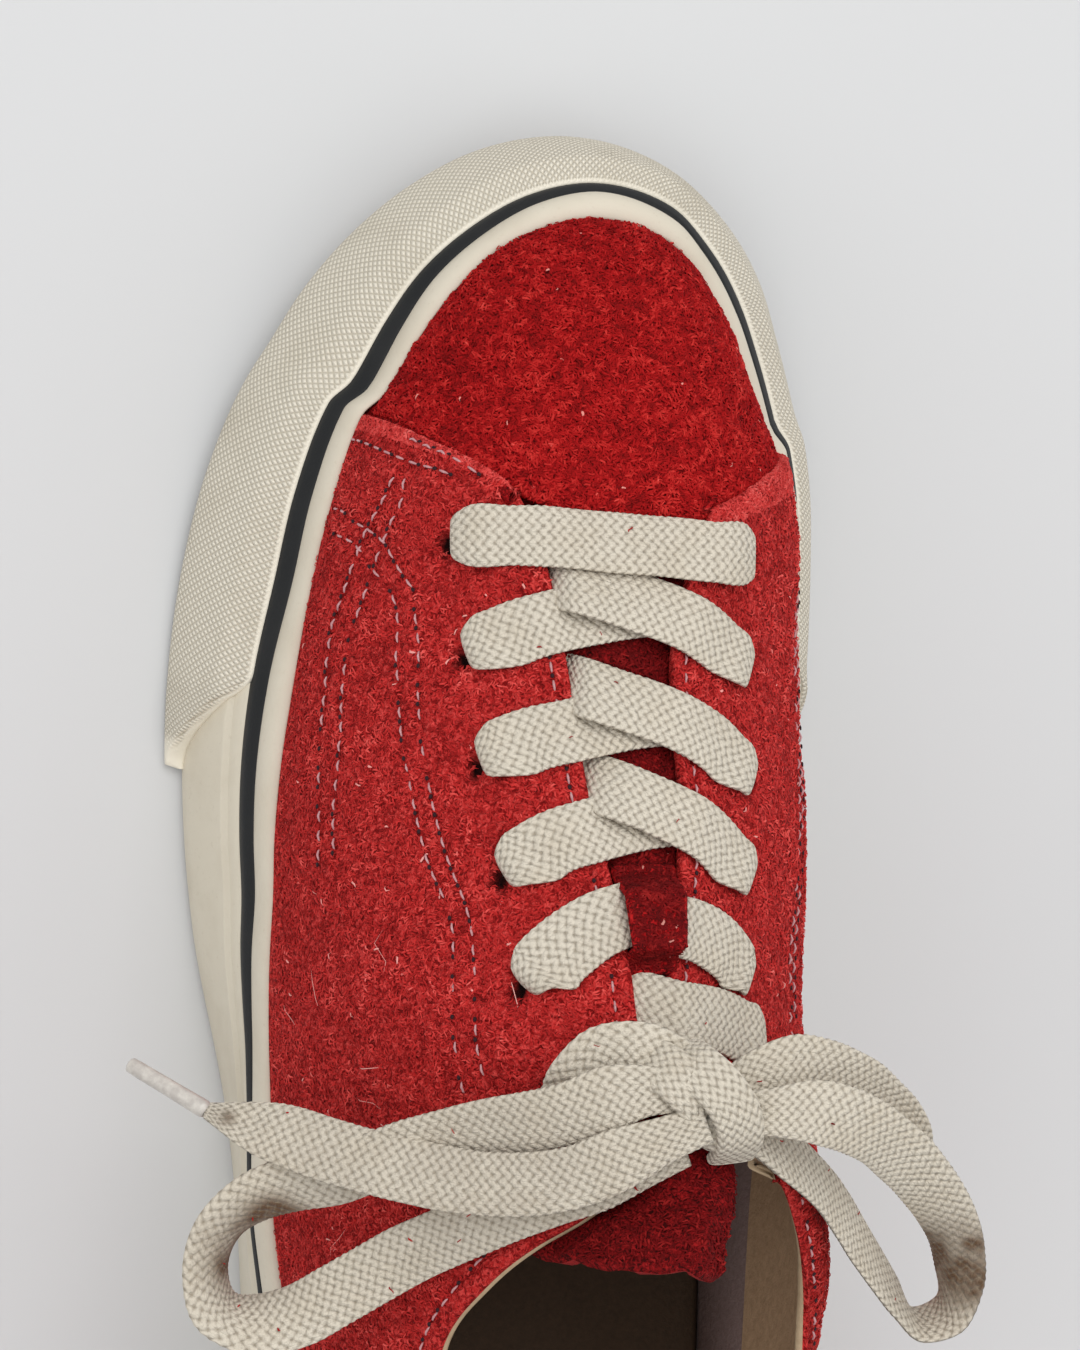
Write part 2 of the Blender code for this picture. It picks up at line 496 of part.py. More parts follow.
def build_outsole(places, mat, collection):
    """Outsole with flat tread bars under the forefoot and the heel and a raised waist."""
    outline = edge_point(places, OUTSOLE_INSET, 0.0)[:, :2]
    start = outline[:, 1].min()
    end = outline[:, 1].max()
    stations = []
    for s in start + END_STEPS:
        stations.append((s, TREAD_DEPTH))
    for s in WAIST_STATIONS:
        stations.append((s, TREAD_DEPTH))
    for low, high in TREAD_PADS:
        stations.append((low - GROOVE_SLOPE, TREAD_DEPTH))
        bars = int((high - low) // TREAD_PITCH)
        for bar in range(bars):
            s = low + bar * TREAD_PITCH
            stations.append((s, 0.0))
            stations.append((s + TREAD_PITCH - TREAD_GROOVE, 0.0))
            stations.append((s + TREAD_PITCH - TREAD_GROOVE + GROOVE_SLOPE, TREAD_DEPTH))
            stations.append((s + TREAD_PITCH - GROOVE_SLOPE, TREAD_DEPTH))
    for s in end - END_STEPS[::-1]:
        stations.append((s, TREAD_DEPTH))
    levels = [(s, bottom, OUTSOLE_TOP) for s, bottom in sorted(stations)]
    return slab("outsole", outline, levels, mat, collection)


def build_insole(places, mat, collection):
    """Insole, lying on the outsole inside the upper's lower edge."""
    top = OUTSOLE_TOP + GAP + INSOLE_THICK
    wall = WALL * INSOLE_CLEAR + GAP
    inset = np.maximum(lower_inset(places, FEATHER), lower_inset(places, top)) + wall
    outline = edge_point(places, inset, 0.0)[:, :2]
    start = outline[:, 1].min()
    end = outline[:, 1].max()
    near, far = INSOLE_ENDS
    middle = np.arange(start + END_STEPS[-1] + near, end - END_STEPS[-1] - far, INSOLE_STEP)
    along = np.concatenate((start + END_STEPS, middle, end - END_STEPS[::-1]))
    levels = [(s, OUTSOLE_TOP + GAP, top) for s in along]
    return slab("insole", outline, levels, mat, collection)


def build_foxing(places, mat, collection):
    """Rubber tape round the sole, with a thick lower band and a thin upper one."""
    def outer(h):
        return foxing_inset(places, h), h
    profile = [(OUTSOLE_INSET - GAP, FOXING_FOOT), (FOXING_FOOT_INSET, FOXING_FOOT),
               (0.0, FOXING_EDGE), outer(FOXING_BELLY), outer(FOXING_RIB),
               outer(FOXING_RIB + FOXING_RIB_EDGE), outer(FOXING_TOP),
               (inner_inset(places, FOXING_TOP), FOXING_TOP), (inner_inset(places, FEATHER), FEATHER),
               (OUTSOLE_INSET - GAP, FEATHER)]
    return side_ring("foxing", places, profile, mat, collection)


def build_stripe(places, mat, collection):
    """Dark rubber line laid round the foxing's upper edge."""
    low, high = STRIPE
    middle = (low + high) / 2
    profile = [(inner_inset(places, low) - GAP, low), (foxing_inset(places, low) + STRIPE_RECESS, low),
               (foxing_inset(places, middle) - STRIPE_BULGE, middle),
               (foxing_inset(places, high) + STRIPE_RECESS, high), (inner_inset(places, high) - GAP, high)]
    return side_ring("foxing_stripe", places, profile, mat, collection)


def build_band(places, mat, collection):
    """Pale rounded band between the dark line and the upper."""
    low, high = BAND
    row = around(places)
    belt = row["belt"] - overlay(places, rubber=True)
    brim = row["brim"] - overlay(places, rubber=True)
    profile = [(inner_inset(places, low), low)]
    for share, h in BAND_PROFILE:
        profile.append((belt + BAND_SETBACK + share * (brim - belt - BAND_SETBACK), h))
    profile.append((inner_inset(places, high) - BAND_LAND, high))
    profile.append((inner_inset(places, high), high))
    return side_ring("foxing_band", places, profile, mat, collection)


def bumper_height(places):
    """Height of the toe bumper's top edge, which sweeps down to the ground at both ends."""
    s = around(places)["sole_s"]
    return FOXING_FOOT + BUMPER_MIN + (BUMPER_TOP - FOXING_FOOT - BUMPER_MIN) * ramp(s, *BUMPER_ENDS)


def bumper_places(places):
    """Columns of the bumper: the side's own and more where its edge sweeps down."""
    shares = np.linspace(0, 1, 7)
    ends = np.concatenate([places_at_s(*BUMPER_ENDS, shares, side)
                           for side in (LATERAL_SIDE, MEDIAL_SIDE)])
    own = places[(places > ends.min()) & (places < ends.max())]
    apart = [np.abs(own - place).min() > BUMPER_BAY for place in ends]
    apart[0] = apart[len(shares)] = True
    return np.sort(np.concatenate((own, ends[apart])))


def build_bumper(places, mat, collection):
    """Thick toe bumper over the front of the foxing."""
    height = bumper_height(places)
    outer = []
    inner = []
    for share, thick in BUMPER_PROFILE:
        h = FOXING_FOOT + share * (height - FOXING_FOOT)
        face = foxing_inset(places, np.maximum(h, FOXING_EDGE)) - BUMPER_CLEAR
        outer.append((face - thick * BUMPER_THICK, h))
        inner.append((face, h))
    return side_ring("toe_bumper", places, outer + inner[::-1], mat, collection, wrap=False)


# ---------------------------------------------------------------- upper, tongue

def upper_grid(places):
    """Outer face of the upper, column by column from its lower edge to its top edge."""
    levels = []
    for h in (UPPER_FOOT, BELT, BRIM):
        levels.append(edge_point(places, lower_inset(places, h), h))
    for v in UPPER_LEVELS:
        levels.append(upper_point(places, v, overlay(places)))
    return np.stack(levels, axis=1)


def build_upper(places, mat, collection):
    """The upper: one wall, open underneath, at the throat and at the collar."""
    grid = upper_grid(places)
    columns, rows = grid.shape[:2]
    faces = [face[::-1] for face in grid_faces(columns, rows, True)]
    obj = mesh_object("upper", grid.reshape(-1, 3), faces, mat, collection, closed=False)
    wall = obj.modifiers.new("wall", "SOLIDIFY")
    wall.thickness = WALL * MM
    wall.offset = -1.0
    return obj


def throat_pairs(top_s):
    """Places on the lateral and the medial side whose sections end at the same s."""
    lateral = side_places(ROW_FRONT_LATERAL, ROW_TONGUE_LATERAL, top_s)
    medial = side_places(ROW_FRONT_MEDIAL, ROW_CORNER_MEDIAL + 1, top_s)
    return lateral, medial


def tongue_grid():
    """Outer face of the tongue: under the lateral eyestay, across the throat, free at the top."""
    top_s = np.array([row[0] for row in TONGUE_ROWS])
    under = OVERLAY - WALL - np.array([row[1] for row in TONGUE_ROWS])
    crown = [row[2] for row in TONGUE_ROWS]
    lateral, medial = throat_pairs(top_s)
    tuck = np.stack([upper_point(lateral, v, under) for v in TONGUE_TUCK], axis=1)
    far = upper_point(medial, 1.0, under)
    slit = np.array([row[3] for row in TONGUE_ROWS])[:, None]
    far += unit(tuck[:, -1] - far) * slit
    tucks = [tuck[0] + np.array(TONGUE_ROOT), *tuck]
    fars = [far[0] + np.array(TONGUE_ROOT), *far]
    crowns = [crown[0], *crown]
    for back, rise, dome in TONGUE_TIP:
        lateral, _ = throat_pairs(top_s[-1:] - back)
        inside = [upper_point(lateral, v, under[-1] - TONGUE_FREE)[0] for v in TONGUE_TUCK]
        tucks.append(np.array(inside))
        fars.append(far[-1] + np.array((0.0, -back, rise)))
        crowns.append(dome)
    rows = []
    for inside, end, arch in zip(tucks, fars, crowns):
        share = np.array(TONGUE_SPAN)[:, None]
        span = inside[-1] + (end - inside[-1]) * share
        span[:, 2:] += arch * (1 - np.abs(2 * share - 1) ** TONGUE_ARCH)
        rows.append(np.vstack((inside, span)))
    return np.stack(rows)


def build_tongue(grid, mat, collection):
    """Padded tongue."""
    columns, rows = grid.shape[:2]
    faces = grid_faces(columns, rows, False)
    obj = mesh_object("tongue", grid.reshape(-1, 3), faces, mat, collection, closed=False)
    pad = obj.modifiers.new("thickness", "SOLIDIFY")
    pad.thickness = TONGUE_THICK * MM
    pad.offset = -1.0
    return obj


def surface_tree(grids):
    """Tree for finding heights on one or more grids of points, in millimetres."""
    points = []
    faces = []
    for grid, wrap in grids:
        columns, rows = grid.shape[:2]
        base = len(points)
        points.extend(Vector(p) for p in grid.reshape(-1, 3))
        for face in grid_faces(columns, rows, wrap):
            faces.append(tuple(base + k for k in face))
    return BVHTree.FromPolygons(points, faces)


def look_down(tree, u, s):
    """The surface under a place: its point and normal first."""
    return tree.ray_cast(Vector((u, s, SKY)), Vector((0.0, 0.0, -1.0)))


def height_on(tree, u, s):
    """Height of the surface above a place, or 0 beside it."""
    hit = look_down(tree, u, s)
    return hit[0][2] if hit[0] else 0.0


# ---------------------------------------------------------------- laces

def ribbon(rings):
    """Points and faces of a flat lace from (centre, half width, half thickness) rings."""
    points = []
    for centre, wide, thick in rings:
        for across, over in LACE_SECTION:
            points.append(centre + wide * across + thick * over)
    return np.array(points), ring_faces(len(rings), len(LACE_SECTION), False)


def square_to(travel, wide, thickness):
    """Half thickness vector, upward, square to the lace's direction and to its width."""
    normal = unit(np.cross(wide, travel))
    return normal * np.sign(normal[2]) * thickness / 2


def taut(places, heights):
    """Heights of a taut string laid over a profile: its upper hull."""
    hull = []
    for x, z in zip(places, heights):
        while len(hull) > 1:
            (x0, z0), (x1, z1) = hull[-2], hull[-1]
            if (z1 - z0) * (x - x0) <= (z - z0) * (x1 - x0):
                hull.pop()
            else:
                break
        hull.append((x, z))
    return np.interp(places, [p[0] for p in hull], [p[1] for p in hull])


def throat_edge(side, s):
    """u of the cut edge of the throat, with the clearance of a lace that goes under it."""
    lateral, medial = throat_pairs(np.array([s]))
    places, sign = (lateral, -1) if side == "lateral" else (medial, 1)
    faces = [upper_point(places, 1.0, h)[0, 0] for h in (OVERLAY, OVERLAY - WALL)]
    return (min(faces) if side == "lateral" else max(faces)) + sign * THROAT_CLEAR


def eyelet_ends(tree, eyelet, toward, wide):
    """Rings of the end of a lace that narrows and goes down into its eyelet."""
    u, s = eyelet
    hit = look_down(tree, u, s)
    point = np.array(hit[0])
    normal = np.array(hit[1])
    normal *= np.sign(normal[2])
    toward = unit(toward - normal * np.dot(toward, normal))
    across = np.cross(normal, toward)
    across *= np.sign(np.dot(across, wide)) * LACE_WIDTH / 2
    turns = (-toward, unit(normal - toward), normal)
    return [(point + normal * up + toward * out, across * share, turn * thick / 2)
            for (up, out, share, thick), turn in zip(EYELET_FOLD, turns)]


def settle(rings, tree):
    """Lift a lace's rings until its underside clears the leather all the way."""
    rings = [tuple(np.array(v, dtype=float) for v in ring) for ring in rings]
    for _ in range(SETTLE_ROUNDS):
        lifts = np.zeros(len(rings))
        for i in range(len(rings) - 1):
            for share in SETTLE_SHARES:
                c, w, t = (a * (1 - share) + b * share for a, b in zip(rings[i], rings[i + 1]))
                low = t * (-1 if t[2] > 0 else 1)
                for across in SETTLE_ACROSS:
                    point = c + w * across + low
                    need = height_on(tree, point[0], point[1]) + LACE_LIFT - point[2]
                    if 0 < need < SETTLE_LIMIT:
                        lifts[i] = max(lifts[i], need)
                        lifts[i + 1] = max(lifts[i + 1], need)
        for ring, lift in zip(rings, lifts):
            ring[0][2] += lift
    return rings


def strap(tree, start, end, eyelets, over=None, arch=0.0):
    """Lace pulled over the shoe between two places.

    start and end are (u, s) or ("lateral" or "medial", s) for an end under a throat edge;
    eyelets tells which ends go into an eyelet; over is the share of the way where the lace
    rides over another one; arch is how far it bows toward the toe.
    """
    half = LACE_WIDTH / 2
    sides = []
    for shift in (-half, 0.0, half):
        line = []
        for place in (start, end):
            s = place[1] + shift
            u = throat_edge(place[0], s) if isinstance(place[0], str) else place[0]
            line.append((u, s))
        sides.append(line)
    shares = np.linspace(0, 1, STRAP_STATIONS)
    lines = []
    for (u0, s0), (u1, s1) in sides:
        u = u0 + (u1 - u0) * shares
        s = s0 + (s1 - s0) * shares + 4 * arch * shares * (1 - shares)
        z = np.array([height_on(tree, *p) for p in zip(u, s)])
        good = z > NOTHING_BELOW
        z = np.interp(shares, shares[good], z[good])
        lines.append(np.column_stack((u, s, taut(shares, z))))
    low, middle, high = lines
    centre = (low + high) / 2
    centre[:, 2] = np.maximum(centre[:, 2], middle[:, 2]) + LACE_LIFT + LACE_THICK / 2
    if over is not None:
        near = 1 - ramp(np.abs(shares - over), *OVER_REACH)
        centre[:, 2] += LACE_OVER * near
    travel = np.gradient(centre, axis=0)
    wide = (high - low) / 2
    rings = [(c, w, square_to(t, w, LACE_THICK)) for c, w, t in zip(centre, wide, travel)]
    rings = settle(rings, tree)
    if eyelets[0]:
        toward = centre[3] - centre[0]
        rings = eyelet_ends(tree, start, toward, wide[0]) + rings[2:]
    if eyelets[1]:
        toward = centre[-4] - centre[-1]
        rings = rings[:-2] + eyelet_ends(tree, end, toward, wide[-1])[::-1]
    return ribbon(rings)


def route_rings(route, width, spacing=RIBBON_STEP):
    """Rings of a free lace through route points (u, s, z, turn)."""
    table = np.array(route, dtype=float)
    steps = np.linalg.norm(np.diff(table[:, :3], axis=0), axis=1)
    knots = np.concatenate(([0.0], np.cumsum(steps)))
    places = np.linspace(0, knots[-1], int(knots[-1] / spacing) + 2)
    line = smooth(knots, table, places)
    travel = np.gradient(line[:, :3], axis=0)
    rings = []
    for point, ahead in zip(line, travel):
        ahead = unit(ahead)
        level = unit(np.cross(ahead, (0.0, 0.0, 1.0)))
        normal = np.cross(level, ahead)
        turn = np.radians(point[3])
        wide = level * np.cos(turn) + normal * np.sin(turn)
        thick = normal * np.cos(turn) - level * np.sin(turn)
        rings.append((point[:3], wide * width / 2, thick * LACE_THICK / 2))
    return rings


def union(obj, cutters):
    """Join other solids to an object."""
    for cutter in cutters:
        boolean(obj, cutter, "UNION")


def boolean(obj, cutter, operation):
    """Boolean modifier with the exact solver."""
    mod = obj.modifiers.new(cutter.name, "BOOLEAN")
    mod.operation = operation
    mod.solver = "EXACT"
    mod.object = cutter


def hide_cutter(obj):
    """Keep a cutter out of renders."""
    obj.hide_render = True
    obj.display_type = "WIRE"


def eyelet_cutter(tree, mat, collection):
    """Round cutters for the punched eyelets, square to the leather."""
    points = []
    faces = []
    for side in EYELETS.values():
        for u, s in side:
            hit = look_down(tree, u, s)
            turn = Vector((0.0, 0.0, 1.0)).rotation_difference(hit[1] * np.sign(hit[1].z))
            base = len(points)
            for depth in (-EYELET_DEPTH, EYELET_DEPTH):
                for k in range(EYELET_SIDES):
                    angle = 2 * np.pi * (k + 0.5) / EYELET_SIDES
                    spot = Vector((np.cos(angle) * EYELET_RADIUS,
                                   np.sin(angle) * EYELET_RADIUS, depth))
                    points.append(hit[0] + turn @ spot)
            ring = range(EYELET_SIDES)
            faces.append(tuple(base + k for k in reversed(ring)))
            faces.append(tuple(base + EYELET_SIDES + k for k in ring))
            for k in ring:
                ahead = (k + 1) % EYELET_SIDES
                faces.append((base + k, base + ahead, base + EYELET_SIDES + ahead,
                              base + EYELET_SIDES + k))
    obj = mesh_object("eyelet_cutter", np.array(points), faces, mat, collection)
    hide_cutter(obj)
    return obj


def build_keeper(tree, mat, collection):
    """Strap stitched to the tongue at both ends, with the laces passing under it."""
    rear, front = np.array(KEEPER)
    shares = np.linspace(0, 1, KEEPER_STATIONS)
    rise = KEEPER_ARCH * ramp(shares, *KEEPER_FOOT) * ramp(1 - shares, *KEEPER_FOOT)
    rings = []
    for share, up in zip(shares, rise):
        s, u0, u1 = rear + (front - rear) * share
        across = np.linspace(u0, u1, 9)
        heights = np.array([height_on(tree, u, s) for u in across])
        found = heights > NOTHING_BELOW
        heights = np.interp(across, across[found], heights[found])
        lift = up + KEEPER_CLEAR + KEEPER_THICK / 2
        level = np.linspace(heights[0], heights[-1], len(across))
        middle = (heights[0] + heights[-1]) / 2 + (heights - level).max()
        wide = np.array(((u1 - u0) / 2, 0.0, (heights[-1] - heights[0]) / 2))
        rings.append((np.array(((u0 + u1) / 2, s, middle + lift)), wide,
                      np.array((0.0, 0.0, KEEPER_THICK / 2))))
    points, faces = ribbon(rings)
    return mesh_object("lace_keeper", points, faces, mat, collection, angle=40.0)


def build_laces(tree, mat, collection, cutters):
    """Bars and crossings over the throat."""
    lateral = EYELETS["lateral"]
    medial = EYELETS["medial"]
    points, faces = strap(tree, lateral[0], medial[0], (True, True))
    mesh_object("lace_bar_1", points, faces, mat, collection)
    for row, s_medial, s_lateral, arch in CROSSINGS:
        points, faces = strap(tree, lateral[row], ("medial", s_medial), (True, False))
        under = mesh_object(f"lace_cross_{row + 1}", points, faces, mat, collection)
        points, faces = strap(tree, ("lateral", s_lateral), medial[row], (False, True),
                              over=CROSSING_SHARE, arch=arch)
        over = mesh_object(f"lace_over_{row + 1}", points, faces, mat, cutters)
        hide_cutter(over)
        union(under, [over])
    middle, low, high = np.mean(KEEPER, axis=0)
    inner = low + KEEPER_INSIDE, high - KEEPER_INSIDE
    points, faces = strap(tree, lateral[4], (inner[1], middle + KEEPER_LACES[0]), (True, False))
    mesh_object("lace_under_lateral", points, faces, mat, collection)
    points, faces = strap(tree, (inner[0], middle + KEEPER_LACES[1]), medial[4], (False, True),
                          arch=KEEPER_LACE_ARCH)
    mesh_object("lace_under_medial", points, faces, mat, collection)
    points, faces = strap(tree, ("lateral", TOP_STRAP_S), medial[5], (False, True), over=1.0)
    mesh_object("lace_top_strap", points, faces, mat, collection)


def build_bow(tree, mat, collection, cutters):
    """Knot, two loops, two free ends and the lead from the top lateral eyelet, all one cord."""
    parts = []
    for name, route in BOW_ROUTES.items():
        points, faces = ribbon(settle(route_rings(route, BOW_WIDTH), tree))
        parts.append(mesh_object(f"bow_{name}", points, faces, mat, cutters))
    for count, route in enumerate(KNOT_WRAPS):
        points, faces = ribbon(route_rings(route, LACE_WIDTH, WRAP_STEP))
        parts.append(mesh_object(f"bow_wrap_{count}", points, faces, mat, cutters))
    bpy.ops.mesh.primitive_uv_sphere_add(segments=KNOT_SIDES, ring_count=KNOT_RINGS)
    core = bpy.context.object
    core.name = "lace_bow"
    centre = np.array(KNOT_CENTRE)
    radii = np.array(KNOT_RADII)
    points = centre + radii * np.array([v.co for v in core.data.vertices])
    for vertex, place in zip(core.data.vertices, world(points)):
        vertex.co = place
    core.data.flip_normals()
    core.data.materials.append(mat)
    for owner in list(core.users_collection):
        owner.objects.unlink(core)
    collection.objects.link(core)
    for part in parts:
        hide_cutter(part)
    union(core, parts)
    return core


def build_aglet(mat, collection):
    """Clear tip on the lateral free end."""
    tail = np.array(BOW_ROUTES["end_lateral"][-1][:3])
    tip = np.array(AGLET_END)
    along = unit(tip - tail)
    start = tail + along * (GAP + LACE_THICK / 2)
    side = unit(np.cross(along, (0.0, 0.0, 1.0)))
    up = np.cross(side, along)
    points = []
    for base in (start, tip):
        for k in range(AGLET_SIDES):
            angle = 2 * np.pi * k / AGLET_SIDES
            points.append(base + (side * np.cos(angle) + up * np.sin(angle)) * AGLET_RADIUS)
    ring = range(AGLET_SIDES)
    faces = [tuple(ring), tuple(AGLET_SIDES + k for k in reversed(ring))]
    for k in ring:
        ahead = (k + 1) % AGLET_SIDES
        faces.append((k, ahead, AGLET_SIDES + ahead, AGLET_SIDES + k))
    return mesh_object("aglet", np.array(points), faces, mat, collection)


# ---------------------------------------------------------------- the shoe

def main():
    """Build the shoe's pieces."""
    for obj in list(bpy.data.objects):
        bpy.data.objects.remove(obj, do_unlink=True)
    shoe = bpy.data.collections.new("suede_sneaker")
    cutters = bpy.data.collections.new("cutters")
    for collection in (shoe, cutters):
        bpy.context.scene.collection.children.link(collection)
    cutters.hide_render = True

    suede = material("red_suede", (0.42, 0.012, 0.016), 0.95)
    tongue_suede = material("tongue_suede", (0.25, 0.008, 0.012), 0.95)
    keeper_suede = material("keeper_suede", (0.42, 0.02, 0.022), 0.95)
    cream = material("cream_rubber", (0.69, 0.64, 0.54), 0.55)
    cream_band = material("cream_band_rubber", (0.69, 0.64, 0.54), 0.5)
    cream_cap = material("bumper_rubber", (0.73, 0.68, 0.58), 0.6)
    black = material("black_rubber", (0.012, 0.014, 0.016), 0.6)
    sole = material("sole_rubber", (0.45, 0.30, 0.17), 0.6)
    sock = material("insole_cloth", (0.035, 0.022, 0.012), 0.9)
    cotton = material("lace_cotton", (0.69, 0.62, 0.50), 0.9)
    clear = material("aglet_plastic", (0.55, 0.50, 0.46), 0.3)

    places = column_places()
    build_outsole(places, sole, shoe)
    build_insole(places, sock, shoe)
    build_foxing(places, cream, shoe)
    build_stripe(places, black, shoe)
    build_band(places, cream_band, shoe)
    build_bumper(bumper_places(places), cream_cap, shoe)

    upper = build_upper(places, suede, shoe)
    outside = upper_grid(places)
    leather = surface_tree([(outside, True)])
    boolean(upper, eyelet_cutter(leather, suede, cutters), "DIFFERENCE")

    tongue = tongue_grid()
    build_tongue(tongue, tongue_suede, shoe)
    build_keeper(surface_tree([(tongue, False)]), keeper_suede, shoe)
    throat = surface_tree([(outside, True), (tongue, False)])
    build_laces(throat, cotton, shoe, cutters)
    build_bow(throat, cotton, shoe, cutters)
    build_aglet(clear, shoe)


main()
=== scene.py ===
"""Looks of the low-top suede sneaker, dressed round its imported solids.

Sizes are millimetres in the shoe's own directions until a mesh is made: u to the lateral side,
s forward from the back of the heel, z up. The shapes repeat the part's own table and rules,
with many more points.
"""

import bpy
import numpy as np
from mathutils import Matrix, Vector
from mathutils.bvhtree import BVHTree

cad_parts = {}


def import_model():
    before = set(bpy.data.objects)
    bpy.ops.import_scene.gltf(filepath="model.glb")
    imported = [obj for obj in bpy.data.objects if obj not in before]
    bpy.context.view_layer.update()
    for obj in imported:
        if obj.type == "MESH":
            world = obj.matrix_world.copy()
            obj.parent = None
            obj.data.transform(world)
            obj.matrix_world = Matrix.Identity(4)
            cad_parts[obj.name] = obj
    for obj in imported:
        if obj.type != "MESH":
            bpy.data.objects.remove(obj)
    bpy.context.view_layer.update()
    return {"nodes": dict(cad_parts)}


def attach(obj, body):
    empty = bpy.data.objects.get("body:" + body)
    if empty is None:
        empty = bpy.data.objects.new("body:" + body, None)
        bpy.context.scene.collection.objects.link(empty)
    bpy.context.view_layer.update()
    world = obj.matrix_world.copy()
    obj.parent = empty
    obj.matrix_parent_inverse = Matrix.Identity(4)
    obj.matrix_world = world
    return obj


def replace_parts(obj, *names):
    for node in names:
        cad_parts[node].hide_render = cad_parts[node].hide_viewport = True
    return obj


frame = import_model()

MM = 0.001
HEEL_Y = 145.55             # world y of the back of the heel
MID_U = 1.5                 # u of the middle of the shoe's box, which is at world x = 0
GAP = 0.3                   # clearance where two pieces meet

# The sole and its side
TOE_SPRING = 14.0
SPRING_START = 200.0
SPRING_RUN = 92.0
SPRING_POWER = 1.9
HEEL_LIFT = 1.5
HEEL_RUN = 22.0
OUTSOLE_TOP = 12.3
OUTSOLE_INSET = 4.8
FOXING_FOOT = 0.8
FOXING_EDGE = 1.9           # height of its rounded lower edge
FOXING_RIB = 16.8           # top of the thick lower band of the foxing
BELT = 21.0                 # height where the table's belt column is measured
BRIM = 29.0                 # height where the upper comes out of the foxing
BUMPER_THICK = 2.3
BUMPER_TOP = 19.4
BUMPER_ENDS = (187.0, 204.0)    # s of the bumper's foot and of its top corner at both ends

# The upper
WALL = 2.2
OVERLAY = 1.5               # how far the quarters stand proud of the vamp
LEATHER_STEP = (0.0, 0.6)   # the step's own run round the sole
RUBBER_BRIDGE = (0.4, 6.4)  # run of the rubber over it, in front of the step
FEATHER = OUTSOLE_TOP + GAP
UPPER_FOOT = 13.2           # lower edge of the upper's wall
FEATHER_INSET = 6.3
FEATHER_LEAN = 0.35
BELT_WALL = 1.9
RIB_FADE = (196.0, 204.0)   # s where the thick band of the foxing ends, under the bumper
FOXING_RIB_THICK = 0.7
FOXING_CURVE = 1.5
BUMPER_MIN = 1.6            # height of the bumper's edge at its two tips

INSOLE_THICK = 4.0
TONGUE_THICK = 2.8
#   top_s, depth under the eyestay, crown across the throat, slit along the medial edge
TONGUE_ROWS = (
    (226.0, 2.9, 0.0, 1.2), (218.0, 1.7, 0.4, 1.2), (205.0, 0.9, 1.0, 1.2),
    (190.0, 0.9, 1.1, 1.0), (175.0, 0.9, 1.2, 0.5), (160.0, 0.9, 1.4, 0.1),
    (146.0, 0.9, 1.8, 0.6), (134.0, 0.9, 2.2, 1.4))
TONGUE_TUCK = (0.68, 0.8, 0.9, 1.0)     # how far the tongue reaches down under the lateral side
TONGUE_SPAN = (0.12, 0.3, 0.5, 0.7, 0.88, 1.0)
TONGUE_ROOT = (0.0, 10.0, -3.4)     # shift of the tongue's root, under the vamp
TONGUE_TIP = ((6.0, 3.5, 4.0), (12.0, 7.5, 7.0), (17.5, 10.5, 10.5))   # back, rise, crown
TONGUE_ARCH = 2.6           # how square the crown across the throat is
TONGUE_FREE = 1.2           # extra depth inside the collar

# Lace keeper, at its rear and front end: s, u from, to
KEEPER = ((160.0, -0.8, 4.6), (175.3, -3.2, 4.8))
KEEPER_ARCH = 5.4
KEEPER_CLEAR = 0.5          # to the faceted crown of the tongue
KEEPER_FOOT = (0.06, 0.24)  # share of its length where it rises
KEEPER_THICK = 1.5
LACE_WIDTH = 9.4
BOW_WIDTH = 9.8
LACE_THICK = 1.5
LACE_LIFT = 0.4             # clearance of a lace over the leather
EYELET_RADIUS = 3.0
STRAP_STATIONS = 12
SKY = 200.0                 # height above the whole shoe
NOTHING_BELOW = 1.0         # heights under this mean that no leather was found
SETTLE_ROUNDS = 3
SETTLE_SHARES = (0.0, 0.25, 0.5, 0.75)          # spots tested between two rings of a lace
SETTLE_ACROSS = (-1.0, -0.5, 0.0, 0.5, 1.0)     # and across its width
SETTLE_LIMIT = 3.0          # deeper than this is the far side of an edge, not the leather below
RIBBON_STEP = 6.8           # closest spacing of a free lace's sections

# Eyelets by side and row, counted from the toe: (u, s)
EYELETS = {
    "lateral": ((23.6, 224.6), (22.7, 207.2), (22.5, 190.8), (21.1, 173.9), (20.1, 157.4),
                (17.7, 141.9)),
    "medial": ((-25.4, 221.9), (-22.7, 204.4), (-20.7, 187.2), (-18.2, 172.5), (-16.3, 157.0),
               (-18.6, 147.9)),
}

